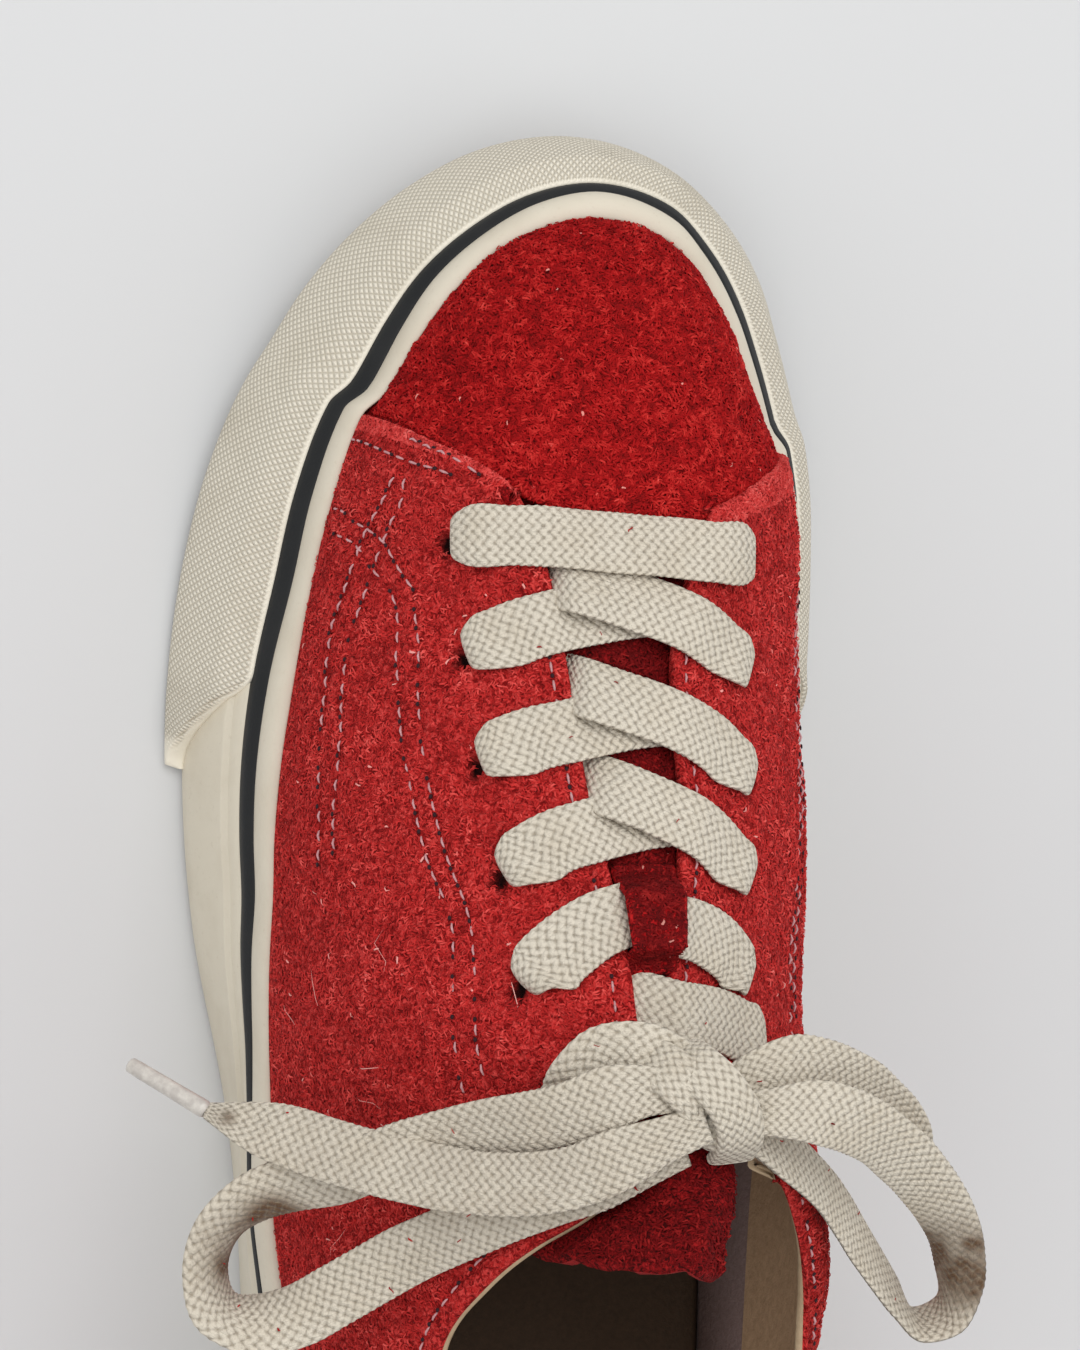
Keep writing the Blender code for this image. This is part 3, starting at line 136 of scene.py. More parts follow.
# Centre lines of the bow: u, s, z and the turn of the flat lace about its own line in degrees
BOW_ROUTES = {
    "loop_lateral": (
        (-1.0, 142.0, 106.0, 0), (8.1, 143.3, 106.0, 0), (19.0, 139.4, 101.0, -5),
        (29.2, 136.6, 93.0, -10), (39.4, 133.0, 85.5, -10), (48.6, 128.7, 79.0, -15),
        (58.2, 126.0, 74.0, -22), (64.5, 120.4, 70.5, -30), (66.0, 112.5, 68.5, -33),
        (63.0, 105.9, 68.5, -30), (54.4, 105.9, 71.0, -18), (46.2, 110.6, 75.5, -8),
        (38.3, 116.1, 80.5, -5), (30.6, 121.0, 88.0, 0), (21.3, 126.0, 95.0, 0),
        (10.5, 130.3, 100.5, 0), (0.5, 134.2, 102.0, 0)),
    "end_lateral": (
        (-1.4, 138.3, 108.0, 0), (7.4, 134.9, 106.5, 0), (18.4, 129.9, 101.5, 0),
        (28.9, 128.8, 95.5, 5), (39.4, 130.4, 88.5, 10), (48.8, 132.7, 82.0, 10),
        (56.7, 135.4, 76.5, 15), (62.8, 137.2, 72.5, 20), (66.2, 138.4, 70.5, 30)),
    "loop_medial": (
        (-5.0, 139.6, 106.0, 0), (-10.8, 139.6, 107.5, 0), (-18.6, 139.4, 107.0, 0),
        (-28.0, 136.4, 103.5, 10), (-36.4, 131.0, 98.0, 20), (-44.2, 123.7, 92.0, 35),
        (-49.6, 116.3, 86.5, 50), (-51.6, 110.2, 83.0, 62), (-51.4, 104.6, 80.5, 70),
        (-49.4, 101.0, 79.0, 72), (-46.0, 102.0, 79.0, 64), (-41.1, 107.7, 81.0, 54),
        (-34.3, 116.0, 85.0, 46), (-27.1, 124.6, 90.5, 44), (-20.4, 130.2, 95.5, 40),
        (-13.2, 134.6, 100.0, 34), (-6.0, 137.6, 103.0, 25)),
    "end_medial": (
        (-4.6, 141.4, 104.0, 0), (-9.0, 144.4, 104.5, 0), (-14.6, 145.8, 104.0, 0),
        (-21.0, 145.2, 101.5, 5), (-28.0, 142.6, 97.5, 10), (-34.8, 138.4, 92.0, 15),
        (-40.4, 133.2, 87.0, 20), (-44.4, 128.0, 82.0, 20), (-47.2, 122.6, 78.0, 20)),
    "lead_lateral": (
        (16.4, 139.8, 94.6, -25), (15.6, 144.4, 97.8, -20), (12.4, 148.0, 101.0, -10),
        (7.6, 148.5, 103.2, 0), (2.6, 146.2, 104.0, 0), (-1.5, 143.2, 103.5, 0)),
}
KNOT_CENTRE = (-4.6, 139.6, 104.8)
KNOT_RADII = (5.6, 6.2, 4.2)
# Turns of lace over the knot
KNOT_WRAPS = (
    ((1.2, 148.6, 102.6, 0), (0.4, 147.0, 107.6, 0), (-2.8, 143.8, 110.0, 0),
     (-5.6, 139.6, 109.8, 0), (-7.0, 135.4, 107.0, 0), (-7.4, 132.4, 101.6, 0)),
    ((6.4, 147.8, 101.5, 0), (4.4, 146.4, 106.4, 0), (1.6, 143.8, 108.4, 0),
     (-1.4, 140.8, 107.4, 0), (-4.0, 138.2, 103.5, 0)),
)
AGLET_END = (76.4, 145.0, 62.5)

# One row for each section round the shoe: heel, lateral side, toe, medial side.
#   sole_u, sole_s          foot of the foxing
#   belt, brim              how far in the side stands at the belt and at the brim, at vamp level
#   top_u, top_s, top_z     end of the section on the collar, the throat or the vamp's rear edge
#   lean, rise, reach, drop handles of the section's curve, at the brim and at the top
SECTION_COLUMNS = ("sole_u", "sole_s", "belt", "brim", "top_u", "top_s", "top_z",
                   "lean", "rise", "reach", "drop")
SECTIONS = (
    (3.0, 0.0, 2.3, 4.5, 2.0, 9.5, 84.0, 2.0, 16.0, 4.0, 17.0),         # back of the heel
    (16.5, 2.6, 2.3, 4.7, 11.5, 11.5, 83.0, 2.0, 16.0, 4.0, 17.0),
    (30.0, 12.5, 2.3, 4.8, 20.5, 18.5, 80.5, 2.0, 16.0, 4.0, 16.0),
    (38.3, 29.0, 2.1, 4.7, 26.5, 33.0, 76.0, 2.0, 16.0, 4.5, 15.0),
    (41.6, 50.0, 1.7, 4.1, 29.5, 53.0, 72.0, 2.0, 16.0, 5.0, 14.0),
    (42.8, 74.0, 1.1, 3.3, 30.6, 76.0, 70.5, 2.0, 16.0, 6.0, 13.0),
    (43.8, 98.0, 0.2, 2.2, 30.8, 100.0, 75.5, 2.0, 18.0, 8.0, 12.0),
    (45.0, 119.0, -0.8, 1.0, 26.5, 111.0, 83.5, 1.5, 22.0, 10.0, 11.0),
    (47.1, 135.0, 1.1, 2.9, 19.5, 118.5, 89.5, 1.0, 26.0, 13.0, 10.0),
    (48.8, 143.5, 2.6, 4.4, 12.5, 123.8, 94.6, 0.5, 30.0, 17.0, 9.5),
    (50.2, 150.0, 3.7, 5.8, 6.4, 129.8, 98.3, 0.0, 32.0, 20.0, 8.5),     # top corner, eyestay
    (51.7, 158.0, 5.0, 7.5, 5.6, 141.0, 97.8, 0.0, 34.0, 20.0, 8.5),
    (52.8, 167.0, 6.4, 9.1, 5.2, 155.0, 92.4, 0.0, 32.0, 20.0, 8.0),
    (53.5, 176.0, 6.8, 10.0, 5.5, 167.0, 87.2, 0.0, 29.0, 18.0, 7.0),
    (53.8, 186.0, 7.3, 11.1, 7.8, 182.0, 80.3, 0.0, 25.0, 16.0, 6.0),
    (53.3, 203.0, 8.8, 13.1, 8.6, 201.0, 71.4, 0.0, 20.0, 15.0, 5.0),
    (51.1, 220.0, 10.3, 13.9, 9.8, 218.0, 64.4, 0.0, 16.0, 13.0, 3.5),
    (47.5, 235.0, 10.0, 13.8, 11.8, 227.5, 60.9, -0.5, 14.0, 12.0, 3.0),
    (41.3, 250.2, 9.3, 12.8, 13.0, 232.5, 59.2, -1.0, 12.0, 11.0, 2.5),  # front of the quarter
    (37.9, 255.8, 9.2, 12.6, 9.4, 229.6, 60.8, -1.5, 11.0, 13.0, 2.5),
    (32.7, 264.3, 8.6, 12.5, 6.2, 227.6, 61.7, -2.0, 11.0, 16.0, 2.5),
    (25.0, 273.4, 7.4, 11.8, 3.4, 226.3, 62.2, -2.5, 11.0, 20.0, 2.5),
    (16.5, 280.5, 7.0, 11.4, 1.0, 225.7, 62.5, -3.0, 12.0, 23.0, 2.5),
    (5.5, 286.3, 6.6, 11.8, -1.2, 225.4, 62.6, -3.0, 12.0, 25.0, 2.5),
    (-7.7, 288.5, 6.2, 12.2, -3.4, 225.3, 62.7, -3.0, 12.0, 25.0, 2.5),  # toe
    (-17.1, 287.1, 6.2, 12.5, -5.6, 225.3, 62.7, -3.0, 12.0, 25.0, 2.5),
    (-25.9, 283.3, 6.4, 12.7, -7.9, 225.4, 62.6, -3.0, 12.0, 23.0, 2.5),
    (-32.3, 278.3, 7.2, 13.2, -10.1, 225.7, 62.4, -2.5, 11.0, 20.0, 2.5),
    (-37.4, 272.7, 7.7, 13.9, -12.2, 226.2, 62.2, -2.5, 11.0, 18.0, 2.5),
    (-41.3, 266.4, 7.9, 13.9, -14.2, 226.9, 61.8, -2.0, 11.0, 16.0, 2.5),
    (-44.4, 258.1, 7.5, 13.5, -16.0, 227.7, 61.3, -1.5, 11.0, 13.0, 2.5),
    (-47.4, 248.7, 7.2, 13.0, -17.4, 228.7, 60.7, -1.0, 12.0, 11.0, 2.5),
    (-49.7, 240.3, 7.1, 12.3, -18.2, 229.6, 60.2, -0.5, 13.0, 11.0, 2.5),  # front of the quarter
    (-50.7, 231.5, 6.5, 11.2, -15.0, 224.0, 62.6, 0.0, 14.0, 11.0, 3.0),
    (-51.0, 221.5, 6.3, 10.6, -12.1, 217.0, 65.1, 0.0, 16.0, 12.0, 3.5),
    (-50.8, 208.0, 6.2, 10.2, -8.6, 206.0, 69.6, -0.5, 19.0, 12.0, 4.5),
    (-49.0, 195.0, 4.6, 8.4, -7.5, 194.0, 74.9, -0.8, 21.0, 13.0, 5.5),
    (-46.0, 180.0, 2.5, 5.3, -6.5, 182.0, 80.5, -0.3, 24.0, 14.0, 6.5),
    (-42.7, 165.0, 0.7, 2.8, -3.6, 169.0, 86.5, 0.5, 26.0, 15.5, 7.0),
    (-40.0, 151.0, 0.0, 1.6, -0.7, 158.0, 91.4, 1.5, 28.0, 17.0, 7.5),
    (-38.8, 142.0, -0.2, 1.3, -0.5, 148.0, 95.4, 3.0, 28.0, 18.0, 8.0),
    (-38.2, 133.0, -0.3, 1.2, -3.2, 137.2, 99.0, 4.2, 28.0, 18.5, 8.0),
    (-37.7, 124.0, -0.2, 1.3, -9.5, 132.2, 99.2, 4.8, 26.0, 18.0, 8.0),  # top corner, eyestay
    (-37.3, 115.0, 0.0, 1.6, -17.0, 128.3, 96.0, 5.4, 24.0, 16.5, 8.0),
    (-37.1, 106.0, 0.2, 1.9, -22.6, 119.5, 88.4, 6.0, 21.0, 15.8, 8.0),
    (-37.0, 97.0, 0.4, 2.2, -26.2, 110.0, 81.3, 6.0, 18.0, 13.5, 9.0),
    (-37.0, 86.0, 0.8, 2.7, -28.4, 98.0, 74.6, 5.0, 17.0, 11.0, 10.0),
    (-36.9, 70.0, 1.5, 3.3, -29.2, 77.0, 70.5, 3.0, 16.0, 7.5, 12.0),
    (-36.2, 50.0, 2.1, 3.9, -28.2, 53.0, 72.0, 2.0, 16.0, 5.5, 14.0),
    (-32.8, 29.0, 2.3, 4.5, -23.8, 33.0, 76.0, 2.0, 16.0, 4.5, 15.0),
    (-24.0, 12.5, 2.3, 4.7, -17.0, 18.5, 80.5, 2.0, 16.0, 4.0, 16.0),
    (-10.5, 2.6, 2.3, 4.7, -7.5, 11.5, 83.0, 2.0, 16.0, 4.0, 17.0),
)
ROW_TONGUE_LATERAL = 6      # the tongue's free end reaches back this far inside the collar
ROW_CORNER_LATERAL = 10
ROW_FRONT_LATERAL = 18
ROW_FRONT_MEDIAL = 32
ROW_CORNER_MEDIAL = 42

# ---------------------------------------------------------------- camera

TARGET = (-9.9, -56.25, 0.0)    # what the camera looks at, on the floor
CAMERA_LEAN = (17.0, -2.0)      # degrees it leans to the lateral side and towards the toe
CAMERA_DISTANCE = 930.0
CAMERA_LENS = 147.6
CAMERA_SENSOR = 36.0
CAMERA_NEAR = 0.01          # metres


def make_camera():
    """Camera nearly above the forefoot, the toe pointing up in the picture."""
    lean = np.radians(CAMERA_LEAN)
    back = Vector((np.tan(lean[0]), np.tan(lean[1]), 1.0)).normalized()
    data = bpy.data.cameras.new("camera")
    data.lens = CAMERA_LENS
    data.sensor_width = CAMERA_SENSOR
    data.clip_start = CAMERA_NEAR
    camera = bpy.data.objects.new("camera", data)
    bpy.context.scene.collection.objects.link(camera)
    camera.location = (Vector(TARGET) + back * CAMERA_DISTANCE) * MM
    right = back.cross(Vector((0.0, 1.0, 0.0))).normalized()
    camera.rotation_euler = Matrix((right, back.cross(right), back)).transposed().to_euler()
    bpy.context.scene.camera = camera


make_camera()


# ---------------------------------------------------------------- the shoe's own shape

TABLE = np.array(SECTIONS)
SOLE_STEPS = np.hypot(*np.diff(TABLE[:, :2], axis=0, append=TABLE[:1, :2]).T)
KNOTS = np.concatenate(([0.0], np.cumsum(SOLE_STEPS)))      # place of each section round the sole
LAP = KNOTS[-1]


RUN_STEP = 0.5              # half the run over which the sole's direction is taken
NORMAL_STEP = (0.4, 0.02)   # the same for the leather's normals, along the sole and up the side


def unit(vectors):
    """Vectors scaled to length 1."""
    return vectors / np.linalg.norm(vectors, axis=-1, keepdims=True)


def smooth(knots, values, places):
    """Cubic through the values, with each tangent taken from the two neighbours."""
    slopes = np.gradient(values, knots, axis=0)
    i = np.clip(np.searchsorted(knots, places, side="right") - 1, 0, len(knots) - 2)
    span = knots[i + 1] - knots[i]
    f = ((places - knots[i]) / span)[:, None]
    span = span[:, None]
    return ((2 * f**3 - 3 * f**2 + 1) * values[i] + (f**3 - 2 * f**2 + f) * span * slopes[i]
            + (3 * f**2 - 2 * f**3) * values[i + 1] + (f**3 - f**2) * span * slopes[i + 1])


def run_of(line):
    """How far along a line of points each one is."""
    return np.concatenate(([0.0], np.cumsum(np.linalg.norm(np.diff(line, axis=0), axis=1))))


def turns(count):
    """Angles evenly spaced over a whole turn."""
    return np.linspace(0, 2 * np.pi, count + 1)[:-1]


def circle(hub, first, second, turn):
    """Points round a hub, with the two half axes given."""
    return hub + np.outer(np.cos(turn), first) + np.outer(np.sin(turn), second)


def around(places):
    """The table's columns at any places round the sole, as a dict of arrays."""
    knots = np.concatenate((KNOTS[:-1] - LAP, KNOTS[:-1], KNOTS[:-1] + LAP))
    values = np.tile(TABLE, (3, 1))
    columns = smooth(knots, values, np.mod(places, LAP))
    return dict(zip(SECTION_COLUMNS, columns.T))


def ground(s):
    """Height of the sole's underside: flat, lifted at the toe and a little at the heel."""
    toe = TOE_SPRING * (np.clip(s - SPRING_START, 0, None) / SPRING_RUN) ** SPRING_POWER
    heel = HEEL_LIFT * (np.clip(HEEL_RUN - s, 0, None) / HEEL_RUN) ** 2
    return toe + heel


def ramp(x, low, high):
    """0 below low, 1 above high, with a soft change between."""
    t = np.clip((x - low) / (high - low), 0, 1)
    return t * t * (3 - 2 * t)


def overlay(places, rubber=False):
    """How far the surface stands above vamp level: the quarters' step at their front edges.

    The leather steps at once; rubber laid over the step is bridged in front of it.
    """
    near, far = RUBBER_BRIDGE if rubber else LEATHER_STEP
    p = np.mod(places, LAP)
    start = KNOTS[ROW_FRONT_LATERAL]
    end = KNOTS[ROW_FRONT_MEDIAL]
    vamp = ramp(p, start + near, start + far) * (1 - ramp(p, end - far, end - near))
    return OVERLAY * (1 - vamp)


def edge_point(places, inset, h):
    """Point of the side at an inset from the foot of the foxing and a height above the sole."""
    row = around(places)
    here = np.stack((row["sole_u"], row["sole_s"]), axis=1)
    ahead = around(places + RUN_STEP)
    behind = around(places - RUN_STEP)
    run = unit(np.stack([ahead[key] - behind[key] for key in ("sole_u", "sole_s")], axis=1))
    inward = np.stack((-run[:, 1], run[:, 0]), axis=1)
    plan = here + inward * np.broadcast_to(inset, places.shape)[:, None]
    return np.column_stack((plan, ground(plan[:, 1]) + h))


def lower_inset(places, h, rubber=False):
    """Inset of the upper's outer face, from its lower edge to the brim."""
    row = around(places)
    feather = FEATHER_INSET + FEATHER_LEAN * np.clip(row["belt"], 0, None)
    waist = row["belt"] + BELT_WALL
    low = feather + (waist - feather) * (h - FEATHER) / (BELT - FEATHER)
    high = waist + (row["brim"] - waist) * (h - BELT) / (BRIM - BELT)
    return np.where(h < BELT, low, high) - overlay(places, rubber)


def vamp_level(places, v):
    """Point of the upper at vamp level; v runs from 0 at the brim to 1 at the top edge."""
    row = around(places)
    brim = edge_point(places, row["brim"], BRIM)
    top = np.stack((row["top_u"], row["top_s"], row["top_z"]), axis=1)
    out = unit(brim[:, :2] - top[:, :2])
    low = brim + np.column_stack((out * row["lean"][:, None], row["rise"]))
    high = top + np.column_stack((out * row["reach"][:, None], -row["drop"]))
    v = np.broadcast_to(v, places.shape)[:, None]
    w = 1 - v
    return w**3 * brim + 3 * w**2 * v * low + 3 * w * v**2 * high + v**3 * top


def upper_point(places, v, height):
    """Point at a height over vamp level, square to the surface."""
    run, step = NORMAL_STEP
    v = np.broadcast_to(v, places.shape)
    across = vamp_level(places + run, v) - vamp_level(places - run, v)
    up = vamp_level(places, np.clip(v + step, 0, 1)) - vamp_level(places, np.clip(v - step, 0, 1))
    normal = unit(np.cross(across, up))
    return vamp_level(places, v) + normal * np.broadcast_to(height, places.shape)[:, None]


def world(points):
    """(u, s, z) in millimetres to (x, y, z) in metres."""
    points = np.asarray(points, dtype=float)
    return np.stack((points[..., 0] - MID_U, HEEL_Y - points[..., 1], points[..., 2]), -1) * MM


def places_where(column, values, rows):
    """Places on one side, among some rows of the table, where a column has given values."""
    rows = np.array(rows)
    known = TABLE[rows, SECTION_COLUMNS.index(column)]
    order = np.argsort(known)
    return np.interp(values, known[order], KNOTS[rows][order])


def foxing_inset(places, h):
    """Inset of the foxing's outer face: convex, with a thick lower band behind the bumper."""
    row = around(places)
    belt = row["belt"] - overlay(places, rubber=True)
    rib = 1 - ramp(row["sole_s"], *RIB_FADE)
    lower = np.where(h <= FOXING_RIB, FOXING_RIB_THICK * rib * h / FOXING_RIB, 0.0)
    return belt * (h / BELT) ** FOXING_CURVE - lower


def inner_inset(places, h):
    """Inset of a ring's inner face, clear of the upper."""
    return lower_inset(places, h, rubber=True) - GAP


def bumper_height(places):
    """Height of the toe bumper's top edge, which sweeps down to the ground at both ends."""
    s = around(places)["sole_s"]
    low = FOXING_FOOT + BUMPER_MIN
    return low + (BUMPER_TOP - low) * ramp(s, *BUMPER_ENDS)


def throat_pairs(top_s):
    """Places on the lateral and the medial side whose sections end at the same s."""
    return (places_where("top_s", top_s, range(ROW_TONGUE_LATERAL + 1, ROW_FRONT_LATERAL + 1)),
            places_where("top_s", top_s, range(ROW_FRONT_MEDIAL, ROW_CORNER_MEDIAL + 1)))


def tongue_grid():
    """Outer face of the tongue: under the lateral eyestay, across the throat, free at the top."""
    top_s = np.array([row[0] for row in TONGUE_ROWS])
    under = OVERLAY - WALL - np.array([row[1] for row in TONGUE_ROWS])
    crown = [row[2] for row in TONGUE_ROWS]
    lateral, medial = throat_pairs(top_s)
    tuck = np.stack([upper_point(lateral, v, under) for v in TONGUE_TUCK], axis=1)
    far = upper_point(medial, 1.0, under)
    slit = np.array([row[3] for row in TONGUE_ROWS])[:, None]
    far += unit(tuck[:, -1] - far) * slit
    tucks = [tuck[0] + np.array(TONGUE_ROOT), *tuck]
    fars = [far[0] + np.array(TONGUE_ROOT), *far]
    crowns = [crown[0], *crown]
    for back, rise, dome in TONGUE_TIP:
        lateral, _ = throat_pairs(top_s[-1:] - back)
        inside = [upper_point(lateral, v, under[-1] - TONGUE_FREE)[0] for v in TONGUE_TUCK]
        tucks.append(np.array(inside))
        fars.append(far[-1] + np.array((0.0, -back, rise)))
        crowns.append(dome)
    rows = []
    for inside, end, arch in zip(tucks, fars, crowns):
        share = np.array(TONGUE_SPAN)[:, None]
        span = inside[-1] + (end - inside[-1]) * share
        span[:, 2:] += arch * (1 - np.abs(2 * share - 1) ** TONGUE_ARCH)
        rows.append(np.vstack((inside, span)))
    return np.stack(rows)


def surface_tree(*grids):
    """Tree for finding heights on one or more (grid of points, whether it closes on itself)."""
    points = []
    faces = []
    for grid, wrap in grids:
        squares = quads(*grid.shape[:2], wrap, base=len(points))
        faces += squares[:, [0, 3, 2, 1]].tolist()
        points += grid.reshape(-1, 3).tolist()
    return BVHTree.FromPolygons(points, faces)


def look_down(tree, u, s):
    """The surface under a place: its point and normal first."""
    return tree.ray_cast(Vector((u, s, SKY)), Vector((0.0, 0.0, -1.0)))


def height_on(tree, u, s):
    """Height of the surface above a place, or 0 beside it."""
    hit = look_down(tree, u, s)
    return hit[0][2] if hit[0] else 0.0


def square_to(travel, wide, thickness):
    """Half thickness vector, upward, square to the lace's direction and to its width."""
    normal = unit(np.cross(wide, travel))
    return normal * np.sign(normal[2]) * thickness / 2


def taut(places, heights):
    """Heights of a taut string laid over a profile: its upper hull."""
    hull = []
    for x, z in zip(places, heights):
        while len(hull) > 1:
            (x0, z0), (x1, z1) = hull[-2], hull[-1]
            if (z1 - z0) * (x - x0) <= (z - z0) * (x1 - x0):
                hull.pop()
            else:
                break
        hull.append((x, z))
    return np.interp(places, [p[0] for p in hull], [p[1] for p in hull])


def settle(rings, tree):
    """Lift a lace's rings until its underside clears the leather all the way."""
    rings = [tuple(np.array(v, dtype=float) for v in ring) for ring in rings]
    for _ in range(SETTLE_ROUNDS):
        lifts = np.zeros(len(rings))
        for i in range(len(rings) - 1):
            for share in SETTLE_SHARES:
                c, w, t = (a * (1 - share) + b * share for a, b in zip(rings[i], rings[i + 1]))
                low = t * (-1 if t[2] > 0 else 1)
                for across in SETTLE_ACROSS:
                    point = c + w * across + low
                    need = height_on(tree, point[0], point[1]) + LACE_LIFT - point[2]
                    if 0 < need < SETTLE_LIMIT:
                        lifts[i] = max(lifts[i], need)
                        lifts[i + 1] = max(lifts[i + 1], need)
        for ring, lift in zip(rings, lifts):
            ring[0][2] += lift
    return rings


def route_rings(route, width, spacing=RIBBON_STEP):
    """Rings of a free lace through route points (u, s, z, turn)."""
    table = np.array(route, dtype=float)
    knots = run_of(table[:, :3])
    places = np.linspace(0, knots[-1], int(knots[-1] / spacing) + 2)
    line = smooth(knots, table, places)
    travel = np.gradient(line[:, :3], axis=0)
    rings = []
    for point, ahead in zip(line, travel):
        ahead = unit(ahead)
        level = unit(np.cross(ahead, (0.0, 0.0, 1.0)))
        normal = np.cross(level, ahead)
        turn = np.radians(point[3])
        wide = level * np.cos(turn) + normal * np.sin(turn)
        thick = normal * np.cos(turn) - level * np.sin(turn)
        rings.append((point[:3], wide * width / 2, thick * LACE_THICK / 2))
    return rings


# ---------------------------------------------------------------- meshes

MIX = (73856093, 19349663, 83492791, 668265263)     # factors of a cell's three numbers and a seed
MIX_ROUNDS = ((13, 1274126177), (11, 461845907))    # shift and factor
MIX_LAST = 15
MASK = 0x7FFFFFFF


def hashed(cells, seed):
    """Repeatable numbers from 0 to 1 for whole-number places."""
    mixed = cells[..., 0] * MIX[0] ^ cells[..., 1] * MIX[1] ^ cells[..., 2] * MIX[2]
    mixed = (mixed ^ seed * MIX[3]) & MASK
    for shift, factor in MIX_ROUNDS:
        mixed = (mixed ^ (mixed >> shift)) * factor & MASK
    return (mixed ^ (mixed >> MIX_LAST)) / MASK


def noise(points, size, seed=0):
    """Soft noise from -1 to 1 with features of about a size."""
    spots = np.asarray(points) / size
    base = np.floor(spots).astype(np.int64)
    f = spots - base
    f = f * f * (3 - 2 * f)
    total = 0.0
    for corner in np.ndindex(2, 2, 2):
        weight = np.prod(np.where(np.array(corner) == 1, f, 1 - f), axis=-1)
        total = total + weight * hashed(base + np.array(corner), seed)
    return total * 2 - 1


def quads(columns, rows, wrap_columns=False, wrap_rows=False, base=0):
    """Quads of a grid of points stored column by column, facing out where it runs upward."""
    i, j = np.meshgrid(np.arange(columns - (not wrap_columns)), np.arange(rows - (not wrap_rows)),
                       indexing="ij")
    a = i * rows
    b = (i + 1) % columns * rows
    k = (j + 1) % rows
    return base + np.stack((a + j, a + k, b + k, b + j), axis=-1).reshape(-1, 4)


def piece(name, points, faces, materials, tips=(), uv=None, slots=None, fields=None):
    """Mesh object from points in millimetres and faces, riding on the shoe.

    The faces are all quads or all triangles; tips are the triangles that go with quads.
    """
    count, corners = faces.shape
    loops = np.concatenate((faces.ravel(), np.ravel(tips))).astype(np.int32)
    starts = np.concatenate((np.arange(count) * corners,
                             count * corners + np.arange(len(tips)) * 3))
    mesh = bpy.data.meshes.new(name)
    mesh.vertices.add(len(points))
    mesh.vertices.foreach_set("co", world(points).astype(np.float32).ravel())
    mesh.loops.add(len(loops))
    mesh.loops.foreach_set("vertex_index", loops)
    mesh.polygons.add(len(starts))
    mesh.polygons.foreach_set("loop_start", starts.astype(np.int32))
    if slots is not None:
        mesh.polygons.foreach_set("material_index", slots.astype(np.int32))
    mesh.update(calc_edges=True)
    mesh.shade_smooth()
    if uv is not None:
        layer = mesh.uv_layers.new(name="UVMap")
        layer.data.foreach_set("uv", uv.astype(np.float32)[loops].ravel())
    for field, values in (fields or {}).items():
        spots = mesh.attributes.new(field, "FLOAT", "POINT")
        spots.data.foreach_set("value", values.astype(np.float32).ravel())
    for mat in materials:
        mesh.materials.append(mat)
    obj = bpy.data.objects.new(name, mesh)
    bpy.context.scene.collection.objects.link(obj)
    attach(obj, "root")
    return obj


def outward(points, faces):
    """The faces of a closed mesh, turned so that they face out."""
    spots = world(points)
    volume = 0.0
    for k in range(1, faces.shape[1] - 1):
        a, b, c = (spots[faces[:, m]] for m in (0, k, k + 1))
        volume += np.einsum("ij,ij->i", a, np.cross(b, c)).sum()
    return faces if volume > 0 else faces[:, ::-1]


def joined(parts):
    """Points and faces of several meshes as one."""
    points = []
    faces = []
    base = 0
    for spots, sides in parts:
        points.append(spots)
        faces.append(sides + base)
        base += len(spots)
    return np.concatenate(points), np.concatenate(faces)


def grid_normals(grid, wrap):
    """Outward unit normals of a grid stored column by column."""
    if wrap:
        run = np.roll(grid, -1, axis=0) - np.roll(grid, 1, axis=0)
    else:
        run = np.gradient(grid, axis=0)
    return unit(np.cross(run, np.gradient(grid, axis=1)))


def upward_normals(grid):
    """Unit normals of a sheet that doesn't wrap, turned so that its middle faces up."""
    normals = grid_normals(grid, False)
    return normals * np.sign(normals[len(grid) // 2, grid.shape[1] // 2, 2])


def refine(grid, columns, rows):
    """A coarse grid of points as a smooth finer one."""
    grid = np.asarray(grid, dtype=float)
    for axis, count in ((0, columns), (1, rows)):
        old = np.moveaxis(grid, axis, 0)
        knots = np.arange(len(old), dtype=float)
        fine = smooth(knots, old.reshape(len(old), -1), np.linspace(0, len(old) - 1, count))
        grid = np.moveaxis(fine.reshape((count,) + old.shape[1:]), 0, axis)
    return grid


def shell(grid, normals, thickness, lip=0.5):
    """Closed sheet under a grid that doesn't wrap, with rounded edges."""
    half = np.broadcast_to(thickness, grid.shape[:2])[..., None] / 2
    middle = grid - normals * half
    columns, rows = grid.shape[:2]
    edge = np.concatenate((
        [(i, 0) for i in range(columns)], [(columns - 1, j) for j in range(1, rows)],
        [(i, rows - 1) for i in range(columns - 2, -1, -1)],
        [(0, j) for j in range(rows - 2, 0, -1)]))
    i, j = edge.T
    ring = middle[i, j]
    inside = middle[np.clip(i, 1, columns - 2), np.clip(j, 1, rows - 2)]
    out = unit(ring - inside)
    rim = ring + out * half[i, j] * lip
    top = grid.reshape(-1, 3)
    under = (middle - normals * half).reshape(-1, 3)
    n = columns * rows
    sides = [quads(columns, rows), quads(columns, rows)[:, ::-1] + n]
    at = i * rows + j
    rim_at = 2 * n + np.arange(len(at))
    ahead = np.roll(np.arange(len(at)), -1)
    sides.append(np.stack((at, at[ahead], rim_at[ahead], rim_at), axis=1))
    sides.append(np.stack((rim_at, rim_at[ahead], at[ahead] + n, at + n), axis=1))
    return np.concatenate((top, under, rim)), np.concatenate(sides)


# ---------------------------------------------------------------- materials

EYELET_PAINTED_SHADE = (0.012, 0.002, 0.002)     # painted shade down an eyelet's pit, in place of its hole
KNURL_TURN = 5.2            # radians of the bumper's pattern per millimetre
WORN_RUBBER = (0.60, 0.53, 0.40)
WEAVE_PITCH = 0.60          # stitches of the lace per millimetre
WEAVE_LEAN = (0.39, 0.61)   # share of one slant over the other, in odd and even rows
SOIL = (0.60, 0.51, 0.38)
# brown of the laces' stains, and of painted shade inside the turns of the bow's loops
STAIN_AND_SHADE_TONE = (0.13, 0.072, 0.038)


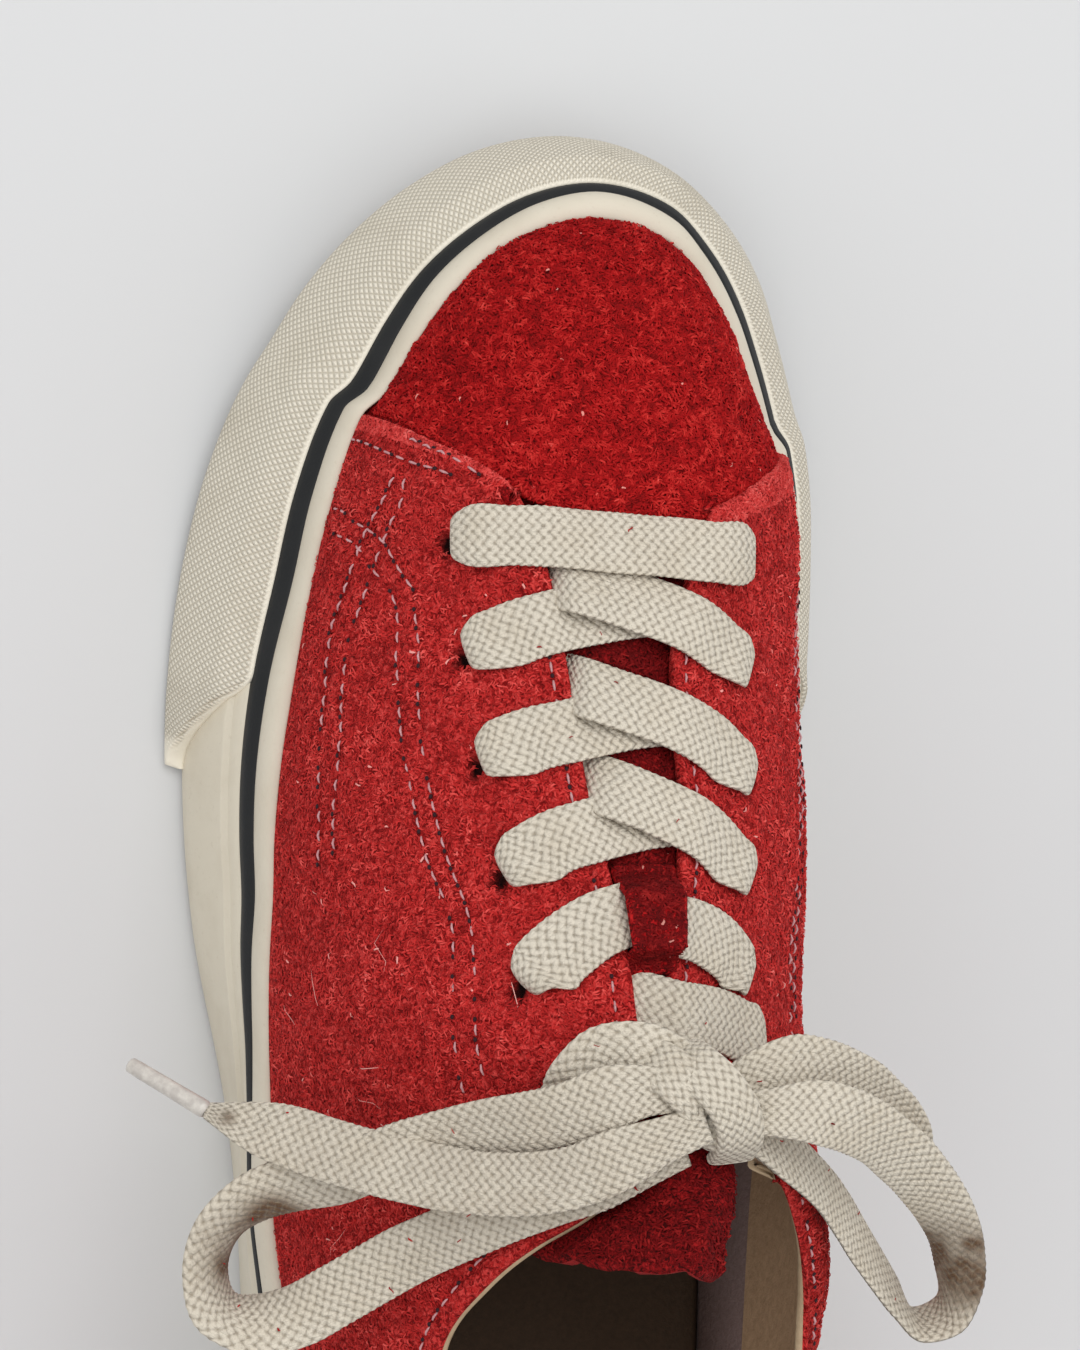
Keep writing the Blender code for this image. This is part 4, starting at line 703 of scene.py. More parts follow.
class Look:
    """A procedural material, with short ways to add its nodes."""

    def __init__(self, name, roughness, specular=0.5):
        self.mat = bpy.data.materials.new(name)
        self.mat.use_nodes = True
        self.nodes = self.mat.node_tree.nodes
        self.shader = self.nodes["Principled BSDF"]
        self.shader.inputs["Roughness"].default_value = roughness
        self.shader.inputs["Specular IOR Level"].default_value = specular
        self.place = self.nodes.new("ShaderNodeTexCoord").outputs["Object"]

    def put(self, socket, value):
        """Another node's output, or a constant, on a socket."""
        if isinstance(value, bpy.types.NodeSocket):
            self.mat.node_tree.links.new(value, socket)
        else:
            socket.default_value = value

    def math(self, operation, *values):
        """A sum, product or curve of outputs and numbers."""
        node = self.nodes.new("ShaderNodeMath")
        node.operation = operation
        for socket, value in zip(node.inputs, values):
            self.put(socket, value)
        return node.outputs[0]

    def noise(self, size, detail=2.0, rough=0.5, distortion=0.0):
        """Noise with features of a size in millimetres."""
        node = self.nodes.new("ShaderNodeTexNoise")
        for key, value in (("Scale", 1 / (size * MM)), ("Detail", detail), ("Roughness", rough),
                           ("Distortion", distortion), ("Vector", self.place)):
            self.put(node.inputs[key], value)
        return node.outputs["Fac"]

    def field(self, name):
        """A number that the mesh carries at each of its points."""
        node = self.nodes.new("ShaderNodeAttribute")
        node.attribute_name = name
        return node.outputs["Fac"]

    def uv(self):
        """The mesh's own pattern directions, in millimetres or rows."""
        node = self.nodes.new("ShaderNodeSeparateXYZ")
        self.put(node.inputs[0], self.nodes.new("ShaderNodeUVMap").outputs["UV"])
        return node.outputs[0], node.outputs[1]

    def ramp(self, factor, stops):
        """Colours (position, (r, g, b)) blended along a factor."""
        node = self.nodes.new("ShaderNodeValToRGB")
        band = node.color_ramp.elements
        while len(band) < len(stops):
            band.new(0.5)
        for spot, (position, colour) in zip(band, stops):
            spot.position = position
            spot.color = (*colour, 1.0)
        self.put(node.inputs[0], factor)
        return node.outputs[0]

    def span(self, value, low, high, to_low=0.0, to_high=1.0):
        """A number moved from one range to another, clamped."""
        node = self.nodes.new("ShaderNodeMapRange")
        for socket, number in zip(node.inputs, (value, low, high, to_low, to_high)):
            self.put(socket, number)
        return node.outputs[0]

    def mix(self, factor, first, second):
        """Two colours blended; a mix node has its colour inputs at 6 and 7."""
        node = self.nodes.new("ShaderNodeMix")
        node.data_type = "RGBA"
        self.put(node.inputs[0], factor)
        for socket, colour in ((node.inputs[6], first), (node.inputs[7], second)):
            self.put(socket, (*colour, 1.0) if isinstance(colour, tuple) else colour)
        return node.outputs[2]

    def colour(self, value):
        """The material's base colour."""
        self.put(self.shader.inputs["Base Color"],
                 (*value, 1.0) if isinstance(value, tuple) else value)

    def bump(self, height, depth):
        """Relief of a depth in millimetres, over any relief before it."""
        node = self.nodes.new("ShaderNodeBump")
        node.inputs["Strength"].default_value = 1.0
        node.inputs["Distance"].default_value = depth * MM
        self.put(node.inputs["Height"], height)
        before = self.shader.inputs["Normal"]
        if before.links:
            self.put(node.inputs["Normal"], before.links[0].from_socket)
        self.put(before, node.outputs[0])


def suede_look(name, dark, mid, light):
    """Napped leather under the fibres: mottled red with a felted relief, its high places painted
    lighter and its low ones darker, as painted light and shade.
    """
    look = Look(name, 0.95, 0.15)
    clumps = look.noise(1.8, 2.0, 0.6, 0.8)
    grain = look.noise(0.8, 2.0, 0.6, 1.2)
    blend = look.math("ADD", look.math("MULTIPLY", clumps, 0.25),
                      look.math("MULTIPLY", grain, 0.75))
    # the tone follows the relief's own noise: painted light on its high places, painted shade in
    # its low ones
    tone = look.ramp(blend, ((0.40, dark), (0.5, mid), (0.62, light)))
    # painted shade: nearly black down each eyelet's pit
    look.colour(look.mix(look.field("eyelet_shade"), tone, EYELET_PAINTED_SHADE))
    look.bump(clumps, 0.7)
    look.bump(grain, 0.9)
    return look.mat


def nap_look(name, dark, mid, light, pale):
    """The suede's fibres, each with its own tone, with painted highlight and shade along each
    strand.
    """
    look = Look(name, 0.8, 0.12)
    tones = ((0.0, dark), (0.45, mid), (0.85, light), (0.98, pale))
    look.colour(look.ramp(look.field("tint_and_shading"), tones))
    return look.mat


def rubber_look(name, tone, dirt, grain=0.05):
    """Matt rubber with faint mottling and a little grime."""
    look = Look(name, 0.55, 0.35)
    mottle = look.noise(14.0, 3.0, 0.6)
    specks = look.noise(0.9, 2.0, 0.5)
    stained = look.mix(look.span(mottle, 0.45, 0.8, 0.0, 0.5), tone, dirt)
    look.colour(look.mix(look.span(specks, 0.62, 0.8, 0.0, 0.35), stained, dirt))
    look.bump(look.noise(0.5, 2.0, 0.6), grain)
    return look.mat


def knurl_look(name, tone, pit):
    """The toe bumper's rubber, moulded with rows of small raised grains, plain at its edges, with
    painted shade between the grains.
    """
    look = Look(name, 0.6, 0.3)
    along, up = look.uv()
    half_up = look.math("MULTIPLY", up, 0.5)
    slants = look.math("ADD", along, up), look.math("SUBTRACT", along, half_up)
    first, second = (look.math("SINE", look.math("MULTIPLY", slant, KNURL_TURN))
                     for slant in slants)
    first, second = look.math("ADD", first, 1.0), look.math("ADD", second, 1.0)
    grains = look.math("MULTIPLY", look.math("MULTIPLY", first, second), 0.25)
    grains = look.math("POWER", grains, 0.6)
    edge = look.field("plain")
    grains = look.math("ADD", look.math("MULTIPLY", grains, look.math("SUBTRACT", 1.0, edge)),
                       look.math("MULTIPLY", edge, 0.7))
    worn = look.mix(look.span(look.noise(16.0, 3.0, 0.6), 0.5, 0.85, 0.0, 0.5), tone, WORN_RUBBER)
    # painted shade: the low ground between the grains is blended towards the pit colour
    look.colour(look.mix(look.span(grains, 0.0, 0.42, 0.75, 0.0), worn, pit))
    look.bump(grains, 0.36)
    return look.mat


def lace_look(name, tone, shade):
    """Flat cotton braid: rows of small slanting stitches, leaning the other way in each row, with
    painted shade in the weave's low places.
    """
    look = Look(name, 0.9, 0.2)
    across, along = look.uv()
    wander = look.math("MULTIPLY", look.math("SUBTRACT", look.noise(3.0, 2.0), 0.5), 0.5)
    along = look.math("ADD", look.math("MULTIPLY", along, WEAVE_PITCH), wander)
    slants = look.math("ADD", along, across), look.math("SUBTRACT", along, across)
    first, second = (look.math("ABSOLUTE", look.math("SINE", look.math("MULTIPLY", slant, np.pi)))
                     for slant in slants)
    row = look.math("SINE", look.math("MULTIPLY", across, 2 * np.pi))
    lean = look.span(row, -0.5, 0.5, *WEAVE_LEAN)
    height = look.math("MULTIPLY", look.math("SUBTRACT", first, second), lean)
    height = look.math("ADD", second, height)
    groove = look.span(look.math("ABSOLUTE", row), 0.0, 0.6, 0.80, 1.0)
    height = look.math("MULTIPLY", height, groove)
    fuzz = look.math("MULTIPLY", look.math("SUBTRACT", look.noise(0.45, 2.0, 0.6), 0.5), 0.7)
    height = look.math("ADD", height, fuzz)
    base = look.mix(look.span(look.noise(9.0, 3.0, 0.6), 0.45, 0.8, 0.0, 0.4), tone, SOIL)
    patchy = look.span(look.noise(5.0, 3.0), 0.3, 0.6, 0.5, 1.0)
    # stains, and painted shade inside the loops' turns, blended in towards the brown
    base = look.mix(look.math("MULTIPLY", look.field("stain_and_shade"), patchy), base, STAIN_AND_SHADE_TONE)
    # painted shade: the weave's low places are blended towards the shade colour
    look.colour(look.mix(look.span(height, 0.12, 0.70, 0.70, 0.0), base, shade))
    look.bump(height, 0.5)
    look.shader.inputs["Sheen Weight"].default_value = 0.1
    return look.mat


def cloth_look(name, tone, shade, size, depth):
    """Smooth lining leather or sock cloth with a fine grain."""
    look = Look(name, 0.75, 0.3)
    grain = look.noise(size, 4.0, 0.65)
    look.colour(look.mix(look.span(grain, 0.35, 0.75, 0.0, 0.8), tone, shade))
    look.bump(grain, depth)
    return look.mat


SUEDE = suede_look("red_suede", (0.08, 0.001, 0.001), (0.34, 0.004, 0.006), (0.58, 0.016, 0.017))
QUARTER = suede_look("quarter_suede", (0.20, 0.004, 0.004), (0.50, 0.020, 0.019),
                     (0.74, 0.065, 0.058))
# painted shade: the tongue's suede is darker than the vamp's, for the shade down in the throat
# under the laces
TONGUE_SHADED_SUEDE = suede_look("tongue_suede", (0.05, 0.001, 0.001), (0.19, 0.003, 0.004),
                          (0.34, 0.010, 0.011))
NAP_VAMP = nap_look("vamp_nap", (0.10, 0.001, 0.001), (0.37, 0.005, 0.006),
                    (0.66, 0.040, 0.032), (0.80, 0.30, 0.25))
NAP_QUARTER = nap_look("quarter_nap", (0.22, 0.006, 0.006), (0.56, 0.027, 0.025),
                       (0.80, 0.095, 0.082), (0.86, 0.36, 0.32))
# painted shade: the tongue's nap is darker for the shade in the throat; the keeper's nap shares it
NAP_TONGUE_SHADED = nap_look("tongue_nap", (0.04, 0.001, 0.001), (0.16, 0.003, 0.004),
                      (0.34, 0.016, 0.014), (0.60, 0.24, 0.20))
# paler nap along the quarters' front edges: partly the raw edge's own colour, partly a painted
# highlight where the edge catches the light; the stray hairs use it too
NAP_EDGE = nap_look("edge_nap", (0.30, 0.010, 0.010), (0.66, 0.055, 0.050), (0.86, 0.16, 0.14),
                    (0.90, 0.45, 0.40))
CREAM = rubber_look("cream_rubber", (0.69, 0.63, 0.51), (0.54, 0.47, 0.355))
CREAM_BAND = rubber_look("cream_band_rubber", (0.69, 0.63, 0.515), (0.56, 0.485, 0.37))
KNURL = knurl_look("bumper_rubber", (0.885, 0.825, 0.695), (0.43, 0.375, 0.28))
BLACK = rubber_look("black_rubber", (0.007, 0.008, 0.009), (0.02, 0.02, 0.02))
SOLE = rubber_look("sole_rubber", (0.45, 0.30, 0.17), (0.30, 0.19, 0.10), 0.2)
LINING = cloth_look("lining_leather", (0.58, 0.385, 0.235), (0.42, 0.27, 0.16), 1.6, 0.3)
BINDING = cloth_look("binding_leather", (0.46, 0.34, 0.215), (0.36, 0.255, 0.155), 1.2, 0.1)
# darker colour of the inside, low down and towards the front
INNER_DARKER = cloth_look("inner_darker_lining", (0.33, 0.235, 0.22), (0.21, 0.15, 0.14), 0.8, 0.2)
SOCK = cloth_look("insole_cloth", (0.056, 0.032, 0.017), (0.032, 0.019, 0.010), 0.9, 0.2)
FLESH = cloth_look("suede_flesh", (0.36, 0.010, 0.010), (0.16, 0.003, 0.003), 0.9, 0.6)
COTTON = lace_look("lace_cotton", (0.72, 0.655, 0.545), (0.28, 0.225, 0.16))
THREAD = cloth_look("stitch_thread", (0.62, 0.36, 0.37), (0.40, 0.13, 0.14), 0.5, 0.05)
# painted shade: dark beads standing in for the needle's holes
NEEDLE_HOLE_SHADE = cloth_look("needle_hole_shade", (0.030, 0.006, 0.010), (0.012, 0.003, 0.005), 0.5, 0.05)
# the quarters' raw front edges: paler suede, partly the edge's own colour and partly a painted
# highlight
CUT_EDGE_HIGHLIGHT = suede_look("suede_cut_edge_highlight", (0.24, 0.008, 0.008), (0.55, 0.035, 0.032),
                      (0.76, 0.09, 0.08))


# ---------------------------------------------------------------- sole

# Columns of a mesh near the quarters' step, and the run round it that has no others
STEP_MARKS = (-3, -1.2, -0.6, 0.0, 0.15, 0.3, 0.45, 0.6, 1.0, 1.6, 2.2, 2.8, 3.4, 4.2, 4.6)
STEP_CLEAR = 5.0
SOLE_COLUMN = 1.6           # spacing of the other columns
WALL_LOW = (1.9, 5.0, 9.0, 13.0, 15.6, 16.4)    # heights of the cream wall in its thick band
WALL_HIGH = (16.75, 16.95, 18.2, 19.4)          # and above it
WALL_TOP = 19.75            # height of the wall's upper face
LINE_HOLLOW = (0.2, 0.0, -0.2, -0.3, -0.2, 0.0, 0.2)    # how far the dark line stands back
LINE_MIDDLE = 21.6          # height of the dark line's middle
LINE_HALF = 1.9
LINE_SHOWN = 0.8            # how far the welt stands back over the dark line
WELT_FOOT = 23.3
WELT_RISE = (23.6, 5.4)     # where the welt's round begins, and how high it goes
BUMPER_ROWS = (range(8, 20), range(30, 44))     # rows of the table that its two ends lie among
BUMPER_COLUMNS = 330
BUMPER_LOW = (0.0, 0.012, 0.03, 0.06)   # shares of its height with rows of points, at its foot
BUMPER_HIGH = (0.93, 0.955, 0.975, 0.99, 1.0)   # and at its top edge
BUMPER_RAISED = 0.9         # how much higher its rounded edge goes than the solid's
BUMPER_LAP = (0.4, 0.55)    # extra thickness, and share of it lost near the top edge
BUMPER_ROUND = 0.9          # radius of its edges
BUMPER_MEASURED = 12        # row along which its pattern is measured
FOOTBED_INSET = 1.25        # walls that the sock liner stays in from the leather's outside
FOOTBED_CLEAR = 0.4
FOOTBED_ENDS = (28, 262)    # s where the liner's middle line ends
FOOTBED_MIDDLE = ((0, 100, 200, 290), (3, 3, 0, -8))    # s and u of that line
# Rows of the liner: share of the way from its middle line to its edge, height over its top
FOOTBED_ROWS = ((1.0, -3.6), (1.0, 0.0), (0.97, 0.5), (0.9, 0.35), (0.7, 0.0), (0.4, -0.1),
                (0.0, -0.1))


def side_columns(step):
    """Places round the shoe, closer together where the quarters step down to the vamp."""
    places = np.arange(0.0, LAP - step / 2, step)
    start, end = KNOTS[ROW_FRONT_LATERAL], KNOTS[ROW_FRONT_MEDIAL]
    places = places[(np.abs(places - start) > STEP_CLEAR) & (np.abs(places - end) > STEP_CLEAR)]
    marks = np.array(STEP_MARKS)
    return np.sort(np.concatenate((places, start + marks, end - marks)))


def lap_places(count):
    """Places evenly spaced round the sole."""
    return np.linspace(0, LAP, count + 1)[:-1]


def sweep(name, places, profile, mat):
    """Closed ring round the side from a profile of (inset, h) that runs up on the outside."""
    loops = [edge_point(places, inset, h) for inset, h in profile]
    grid = np.stack(loops, axis=1)
    columns, rows = grid.shape[:2]
    uv = np.stack((np.broadcast_to(places[:, None], (columns, rows)), grid[..., 2]), axis=-1)
    return piece(name, grid.reshape(-1, 3), quads(columns, rows, True, True), [mat],
                 uv=uv.reshape(-1, 2))


def bend(start, end, count, power=1.0):
    """Shares of a quarter turn: (inward, upward) pairs from 0 to 1."""
    turn = np.linspace(start, end, count) * np.pi / 2
    return [(1 - np.cos(a), np.sin(a) ** power) for a in turn]


def make_sole():
    """Foxing, dark line, rounded band and toe bumper."""
    places = side_columns(SOLE_COLUMN)
    brim = around(places)["brim"] - overlay(places, rubber=True)

    profile = [(OUTSOLE_INSET - GAP, FOXING_FOOT), (1.4, FOXING_FOOT), (0.6, 1.0), (0.15, 1.4)]
    profile += [(foxing_inset(places, np.array(h)), h) for h in WALL_LOW]
    profile += [(foxing_inset(places, np.array(max(h, FOXING_RIB + 0.01))), h) for h in WALL_HIGH]
    profile += [(foxing_inset(places, np.array(WALL_TOP)) + 0.25, WALL_TOP),
                (inner_inset(places, 19.7), WALL_TOP), (inner_inset(places, FEATHER), FEATHER),
                (OUTSOLE_INSET - GAP, FEATHER)]
    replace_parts(sweep("foxing_rubber", places, profile, CREAM), "foxing")

    profile = [(inner_inset(places, 20.0), LINE_MIDDLE - LINE_HALF)]
    for share, back in zip(np.linspace(-1, 1, len(LINE_HOLLOW)), LINE_HOLLOW):
        h = LINE_MIDDLE + LINE_HALF * share
        profile.append((foxing_inset(places, np.array(h)) + back, h))
    profile.append((inner_inset(places, 23.4), LINE_MIDDLE + LINE_HALF))
    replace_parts(sweep("foxing_line", places, profile, BLACK), "foxing_stripe")

    # the dark line stays in sight where the wall stands upright, on the medial side of the toe
    rim = edge_point(places, 0.0, BRIM)
    upright = LINE_SHOWN * ramp(-rim[:, 0], 4.0, 26.0) * ramp(rim[:, 1], 226.0, 238.0)
    first = foxing_inset(places, np.array(23.4)) + 0.15 + upright
    last = np.maximum(brim + 0.15, first + 1.2)
    profile = [(np.maximum(inner_inset(places, 23.6), first + 0.6), WELT_FOOT),
               (first + 0.3, WELT_FOOT)]
    for inward, upward in bend(0.02, 1.0, 14, 0.9):
        h = WELT_RISE[0] + WELT_RISE[1] * upward
        profile.append((first + (last - first) * inward ** 1.15, h))
    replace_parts(sweep("foxing_welt", places, profile, CREAM_BAND), "foxing_band")


def make_bumper():
    """Knurled toe bumper with rounded edges."""
    lateral, medial = (places_where("sole_s", BUMPER_ENDS[0], rows) for rows in BUMPER_ROWS)
    places = np.linspace(lateral, medial, BUMPER_COLUMNS)
    height = bumper_height(places)
    height = height + BUMPER_RAISED * ramp(height, 16.0, BUMPER_TOP)
    end = np.minimum(places - lateral, medial - places)
    shares = np.concatenate((BUMPER_LOW, np.linspace(0.1, 0.9, 22), BUMPER_HIGH))
    outer = []
    plain = []
    span = height - FOXING_FOOT
    for share in shares:
        h = FOXING_FOOT + share * span
        inset = foxing_inset(places, np.maximum(np.minimum(h, 20.6), FOXING_EDGE)) - 0.1
        top = (1 - share) * span
        near = np.minimum(np.minimum(top, end * 0.8), share * span + 0.6)
        round_off = np.sqrt(1 - (1 - np.clip(near / BUMPER_ROUND, 0, 1)) ** 2)
        thick = (0.15 + 0.85 * round_off) * (BUMPER_THICK + BUMPER_LAP[0])
        thick = thick * (1 - BUMPER_LAP[1] * ramp(h, 15.5, 20.3))
        outer.append(edge_point(places, inset - thick, h))
        bare = 1 - ramp(np.minimum(top * 6, end), 0.2, 0.9)
        plain.append(np.maximum(bare, 1 - ramp(span, 2.0, 7.0)))
    inner = []
    for share in (1.0, 0.5, 0.0):
        h = FOXING_FOOT + share * span
        inner.append(edge_point(places, foxing_inset(places, np.maximum(h, FOXING_EDGE)) + 0.3, h))
    grid = np.stack(outer + inner, axis=1)
    plain = np.stack(plain + [np.ones_like(places)] * 3, axis=1)
    faces = quads(*grid.shape[:2], False, True)
    steps = np.linalg.norm(np.diff(grid, axis=1, prepend=grid[:, :1]), axis=2).cumsum(axis=1)
    run = run_of(grid[:, BUMPER_MEASURED])
    uv = np.stack((np.broadcast_to(run[:, None], steps.shape), steps), axis=-1)
    obj = piece("toe_bumper_rubber", grid.reshape(-1, 3), faces, [KNURL], uv=uv.reshape(-1, 2),
                fields={"plain": plain})
    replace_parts(obj, "toe_bumper")


def make_footbed():
    """Sock liner: the insole's outline with a dished, softly rolled edge."""
    places = lap_places(160)
    inset = lower_inset(places, OUTSOLE_TOP + 3) + FOOTBED_INSET * WALL
    outline = edge_point(places, inset, 0.0)[:, :2]
    centre_s = np.clip(outline[:, 1], *FOOTBED_ENDS)
    centre = np.column_stack((np.interp(centre_s, *FOOTBED_MIDDLE), centre_s))
    loops = []
    for share, lift in FOOTBED_ROWS:
        plan = centre + (outline - centre) * share
        top = OUTSOLE_TOP + FOOTBED_CLEAR + INSOLE_THICK + lift
        loops.append(np.column_stack((plan, ground(plan[:, 1]) + top)))
    grid = np.stack(loops, axis=1)
    count, rows = grid.shape[:2]
    faces = quads(count, rows, True)
    # below, each column is joined to the one across from it
    k = np.arange(count // 2)
    across = np.stack((k, k + 1, (count - k - 1) % count, (count - k) % count), axis=1) * rows
    obj = piece("sock_liner", grid.reshape(-1, 3), np.concatenate((faces, across)), [SOCK])
    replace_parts(obj, "insole")


make_sole()
make_bumper()
make_footbed()


# ---------------------------------------------------------------- upper

# Rows of stitches as (u, s, z) along the leather, snapped to it
SEAMS_LATERAL = (
    ((28.7, 241.4, 45.6), (27.4, 240.9, 48.2), (25.4, 239.6, 51.5), (22.3, 237.7, 55.3),
     (17.5, 233.8, 59.2)),
    ((36.0, 242.0, 30.0), (32.8, 240.9, 33.5), (32.1, 240.2, 38.4), (30.1, 238.6, 44.9),
     (27.4, 237.0, 50.3), (24.6, 236.0, 53.8), (20.8, 234.0, 57.0)),
    ((40.0, 231.0, 31.0), (35.5, 229.4, 36.4), (34.5, 227.6, 41.0), (33.0, 226.2, 44.8),
     (31.6, 224.2, 48.0), (30.8, 221.9, 49.8), (29.8, 219.4, 51.8), (28.8, 217.2, 53.6),
     (28.8, 214.1, 54.7), (28.8, 207.9, 57.0), (29.5, 200.2, 59.3), (29.7, 194.8, 61.4),
     (29.4, 186.4, 65.5), (28.4, 177.4, 70.2), (26.2, 167.0, 76.5), (26.5, 155.1, 80.9),
     (26.5, 146.1, 82.8), (25.3, 139.0, 85.0)),
    ((40.5, 227.0, 31.0), (36.5, 225.7, 36.2), (35.0, 224.2, 41.6), (33.3, 220.3, 46.4),
     (31.4, 216.4, 50.8), (31.7, 205.5, 54.5), (31.9, 198.6, 57.1), (32.0, 192.4, 59.7),
     (31.6, 186.3, 62.8), (30.8, 177.3, 67.3), (28.6, 165.5, 75.0), (29.3, 155.0, 78.0),
     (29.0, 144.4, 79.7), (27.8, 136.0, 82.0)),
    ((28.9, 236.5, 48.0), (30.2, 234.4, 46.8), (31.3, 231.4, 45.8), (33.8, 225.9, 43.5),
     (36.5, 217.0, 41.3), (38.2, 211.0, 40.0), (39.7, 201.2, 41.3), (40.7, 193.4, 42.9),
     (41.6, 184.0, 45.0), (41.8, 172.0, 47.5)),
    ((28.0, 236.6, 49.8), (28.9, 234.3, 48.9), (29.3, 231.6, 49.1), (31.5, 225.8, 47.6),
     (34.1, 217.4, 46.1), (36.7, 209.2, 45.0), (37.6, 205.3, 45.1), (39.1, 193.6, 47.7),
     (40.4, 182.0, 49.4), (40.2, 172.0, 51.5)),
)
MEDIAL_SHIFT = (-8.0, -3.0, -12.0)  # from the mirrored rows to the medial side's
MEDIAL_LOW = 31.0           # height that those rows stay above
THROAT_SEAM = 0.955         # share of the way up where the rows along the throat run
COLLAR_SEAM = 0.93
HEEL_SEAMS = (-1.1, 1.1)    # places of the two rows up the heel
STITCH_PITCH = 3.1
STITCH_LENGTH = 1.8
STITCH_RADIUS = 0.21
STITCH_RINGS = ((-1.0, 0.25), (-0.8, 0.75), (0.0, 1.0), (0.8, 0.75), (1.0, 0.25))   # share, size
HOLE_RINGS = ((0.02, -0.2), (0.42, -0.1), (0.42, 0.0), (0.30, 0.12), (0.02, 0.14))  # size, rise of a dark bead of painted shade in a needle's hole
HOLE_LUCK = 0.35            # a needle's hole, a bead of painted shade, shows above this luck
LOST_LUCK = 0.8             # and the stitch itself is lost in the nap above this one
STRIP_LATERAL = (-0.8, 0.6)     # run of the paler strip along the lateral quarter's front edge: its raw edge, partly a painted highlight
STRIP_MEDIAL = (-0.7, 0.1)
UPPER_COLUMN = 1.5          # spacing of the leather's columns
UPPER_LEVELS = (0.015, 0.96, 66)    # its rows as shares of the way up: first, last, how many
HIDDEN_HEIGHTS = (UPPER_FOOT, BELT, 25.0, BRIM)     # rows of the leather behind the rubber
LINING_ROWS = 14            # rows of the inside that the collar's smooth lining covers; below them the inside is darker
LINING_FRONT = 152.0        # s from which the inside is darker instead of the smooth lining
VAMP_LINING = 222.0         # s where the vamp's bare inside begins
RIM = ((0.12, 0.25), (0.35, 0.42), (0.65, 0.42), (0.88, 0.25))  # cut edge: share of the wall, rise
VAMP_LOOK, LINING_LOOK, INNER_DARKER_LOOK, CUT_HIGHLIGHT_LOOK, QUARTER_LOOK = range(5)

# Pinches of the leather: how far a seam draws it in, an eyelet's pit and the dent round it
SEAM_PINCH = (0.38, 0.9)
UNEVEN = ((0.35, 16.0, 3), (0.16, 5.0, 4))  # soft unevenness: depth, size, seed
EYELET_PIT = 1.8
EYELET_DENT = (0.3, 5.0)
EYELET_SHIFT = (1.1, -0.3, -0.5)    # from the lace's end to the pit: outward, forward, up

# Troughs and ridges of the leather: (u, s, z) from, to, how deep, how wide
CREASES = (
    ((33.0, 228.0, 44.0), (35.5, 196.0, 52.0), 0.7, 5.0),
    ((-30.0, 226.0, 50.0), (-33.0, 196.0, 55.0), 0.6, 5.0),
    ((24.0, 236.0, 54.0), (34.0, 216.0, 47.0), -0.4, 3.5),
    ((14.0, 226.0, 61.0), (-14.0, 228.0, 62.0), 0.5, 4.0),
    ((20.0, 246.0, 51.0), (-22.0, 246.0, 50.0), 0.5, 6.0),
    ((10.0, 258.0, 47.0), (-24.0, 254.0, 46.0), -0.35, 5.0),
    ((38.0, 180.0, 52.0), (44.0, 186.0, 36.0), 0.6, 4.0),
    ((40.0, 160.0, 52.0), (45.0, 168.0, 36.0), 0.5, 4.5),
    ((-38.0, 186.0, 55.0), (-43.0, 194.0, 38.0), 0.6, 4.0),
    ((36.0, 120.0, 66.0), (43.0, 112.0, 40.0), 0.5, 6.0),
    ((-32.0, 118.0, 68.0), (-36.0, 110.0, 42.0), 0.5, 6.0),
    ((30.0, 40.0, 62.0), (36.0, 56.0, 45.0), 0.4, 6.0),
)


def polyline(points, step):
    """Points evenly spaced along a smooth line through a few."""
    points = np.array(points, dtype=float)
    knots = run_of(points)
    places = np.linspace(0, knots[-1], max(2, int(knots[-1] / step) + 1))
    return smooth(knots, points, places)


def snapped(tree, points):
    """Points moved onto the leather, with the leather's normals there."""
    spots = []
    normals = []
    for point in points:
        hit = tree.find_nearest(Vector(point))
        spots.append(hit[0])
        normals.append(hit[1])
    return np.array(spots), np.array(normals)


def far_from(points, line):
    """Distance of points from a line of points."""
    best = np.full(len(points), 1e9)
    for start, end in zip(line[:-1], line[1:]):
        along = end - start
        share = np.clip((points - start) @ along / max(along @ along, 1e-9), 0, 1)
        best = np.minimum(best, np.linalg.norm(points - start - share[:, None] * along, axis=1))
    return best


def seam_lines(tree):
    """All rows of stitches, as points on the leather."""
    lines = [snapped(tree, polyline(seam, 1.0))[0] for seam in SEAMS_LATERAL]
    # the medial side carries the same seams, mirrored about the vamp's own middle
    for seam in SEAMS_LATERAL[2:]:
        other = np.array(seam) * (-1.0, 1.0, 1.0) + MEDIAL_SHIFT
        other = other[other[:, 2] > MEDIAL_LOW]
        lines.append(snapped(tree, polyline(other, 1.0))[0])
    for start, end, count, level in (
            (KNOTS[ROW_CORNER_LATERAL], KNOTS[ROW_FRONT_LATERAL - 2], 70, THROAT_SEAM),
            (KNOTS[ROW_FRONT_MEDIAL + 2], KNOTS[ROW_CORNER_MEDIAL], 70, THROAT_SEAM),
            (KNOTS[ROW_CORNER_MEDIAL] - LAP, KNOTS[ROW_CORNER_LATERAL], 240, COLLAR_SEAM)):
        places = np.linspace(start, end, count)
        lines.append(upper_point(places, level, overlay(places)))
    levels = np.linspace(0.02, 0.9, 50)
    for side in HEEL_SEAMS:
        lines.append(upper_point(np.full(len(levels), side), levels, OVERLAY))
    return lines


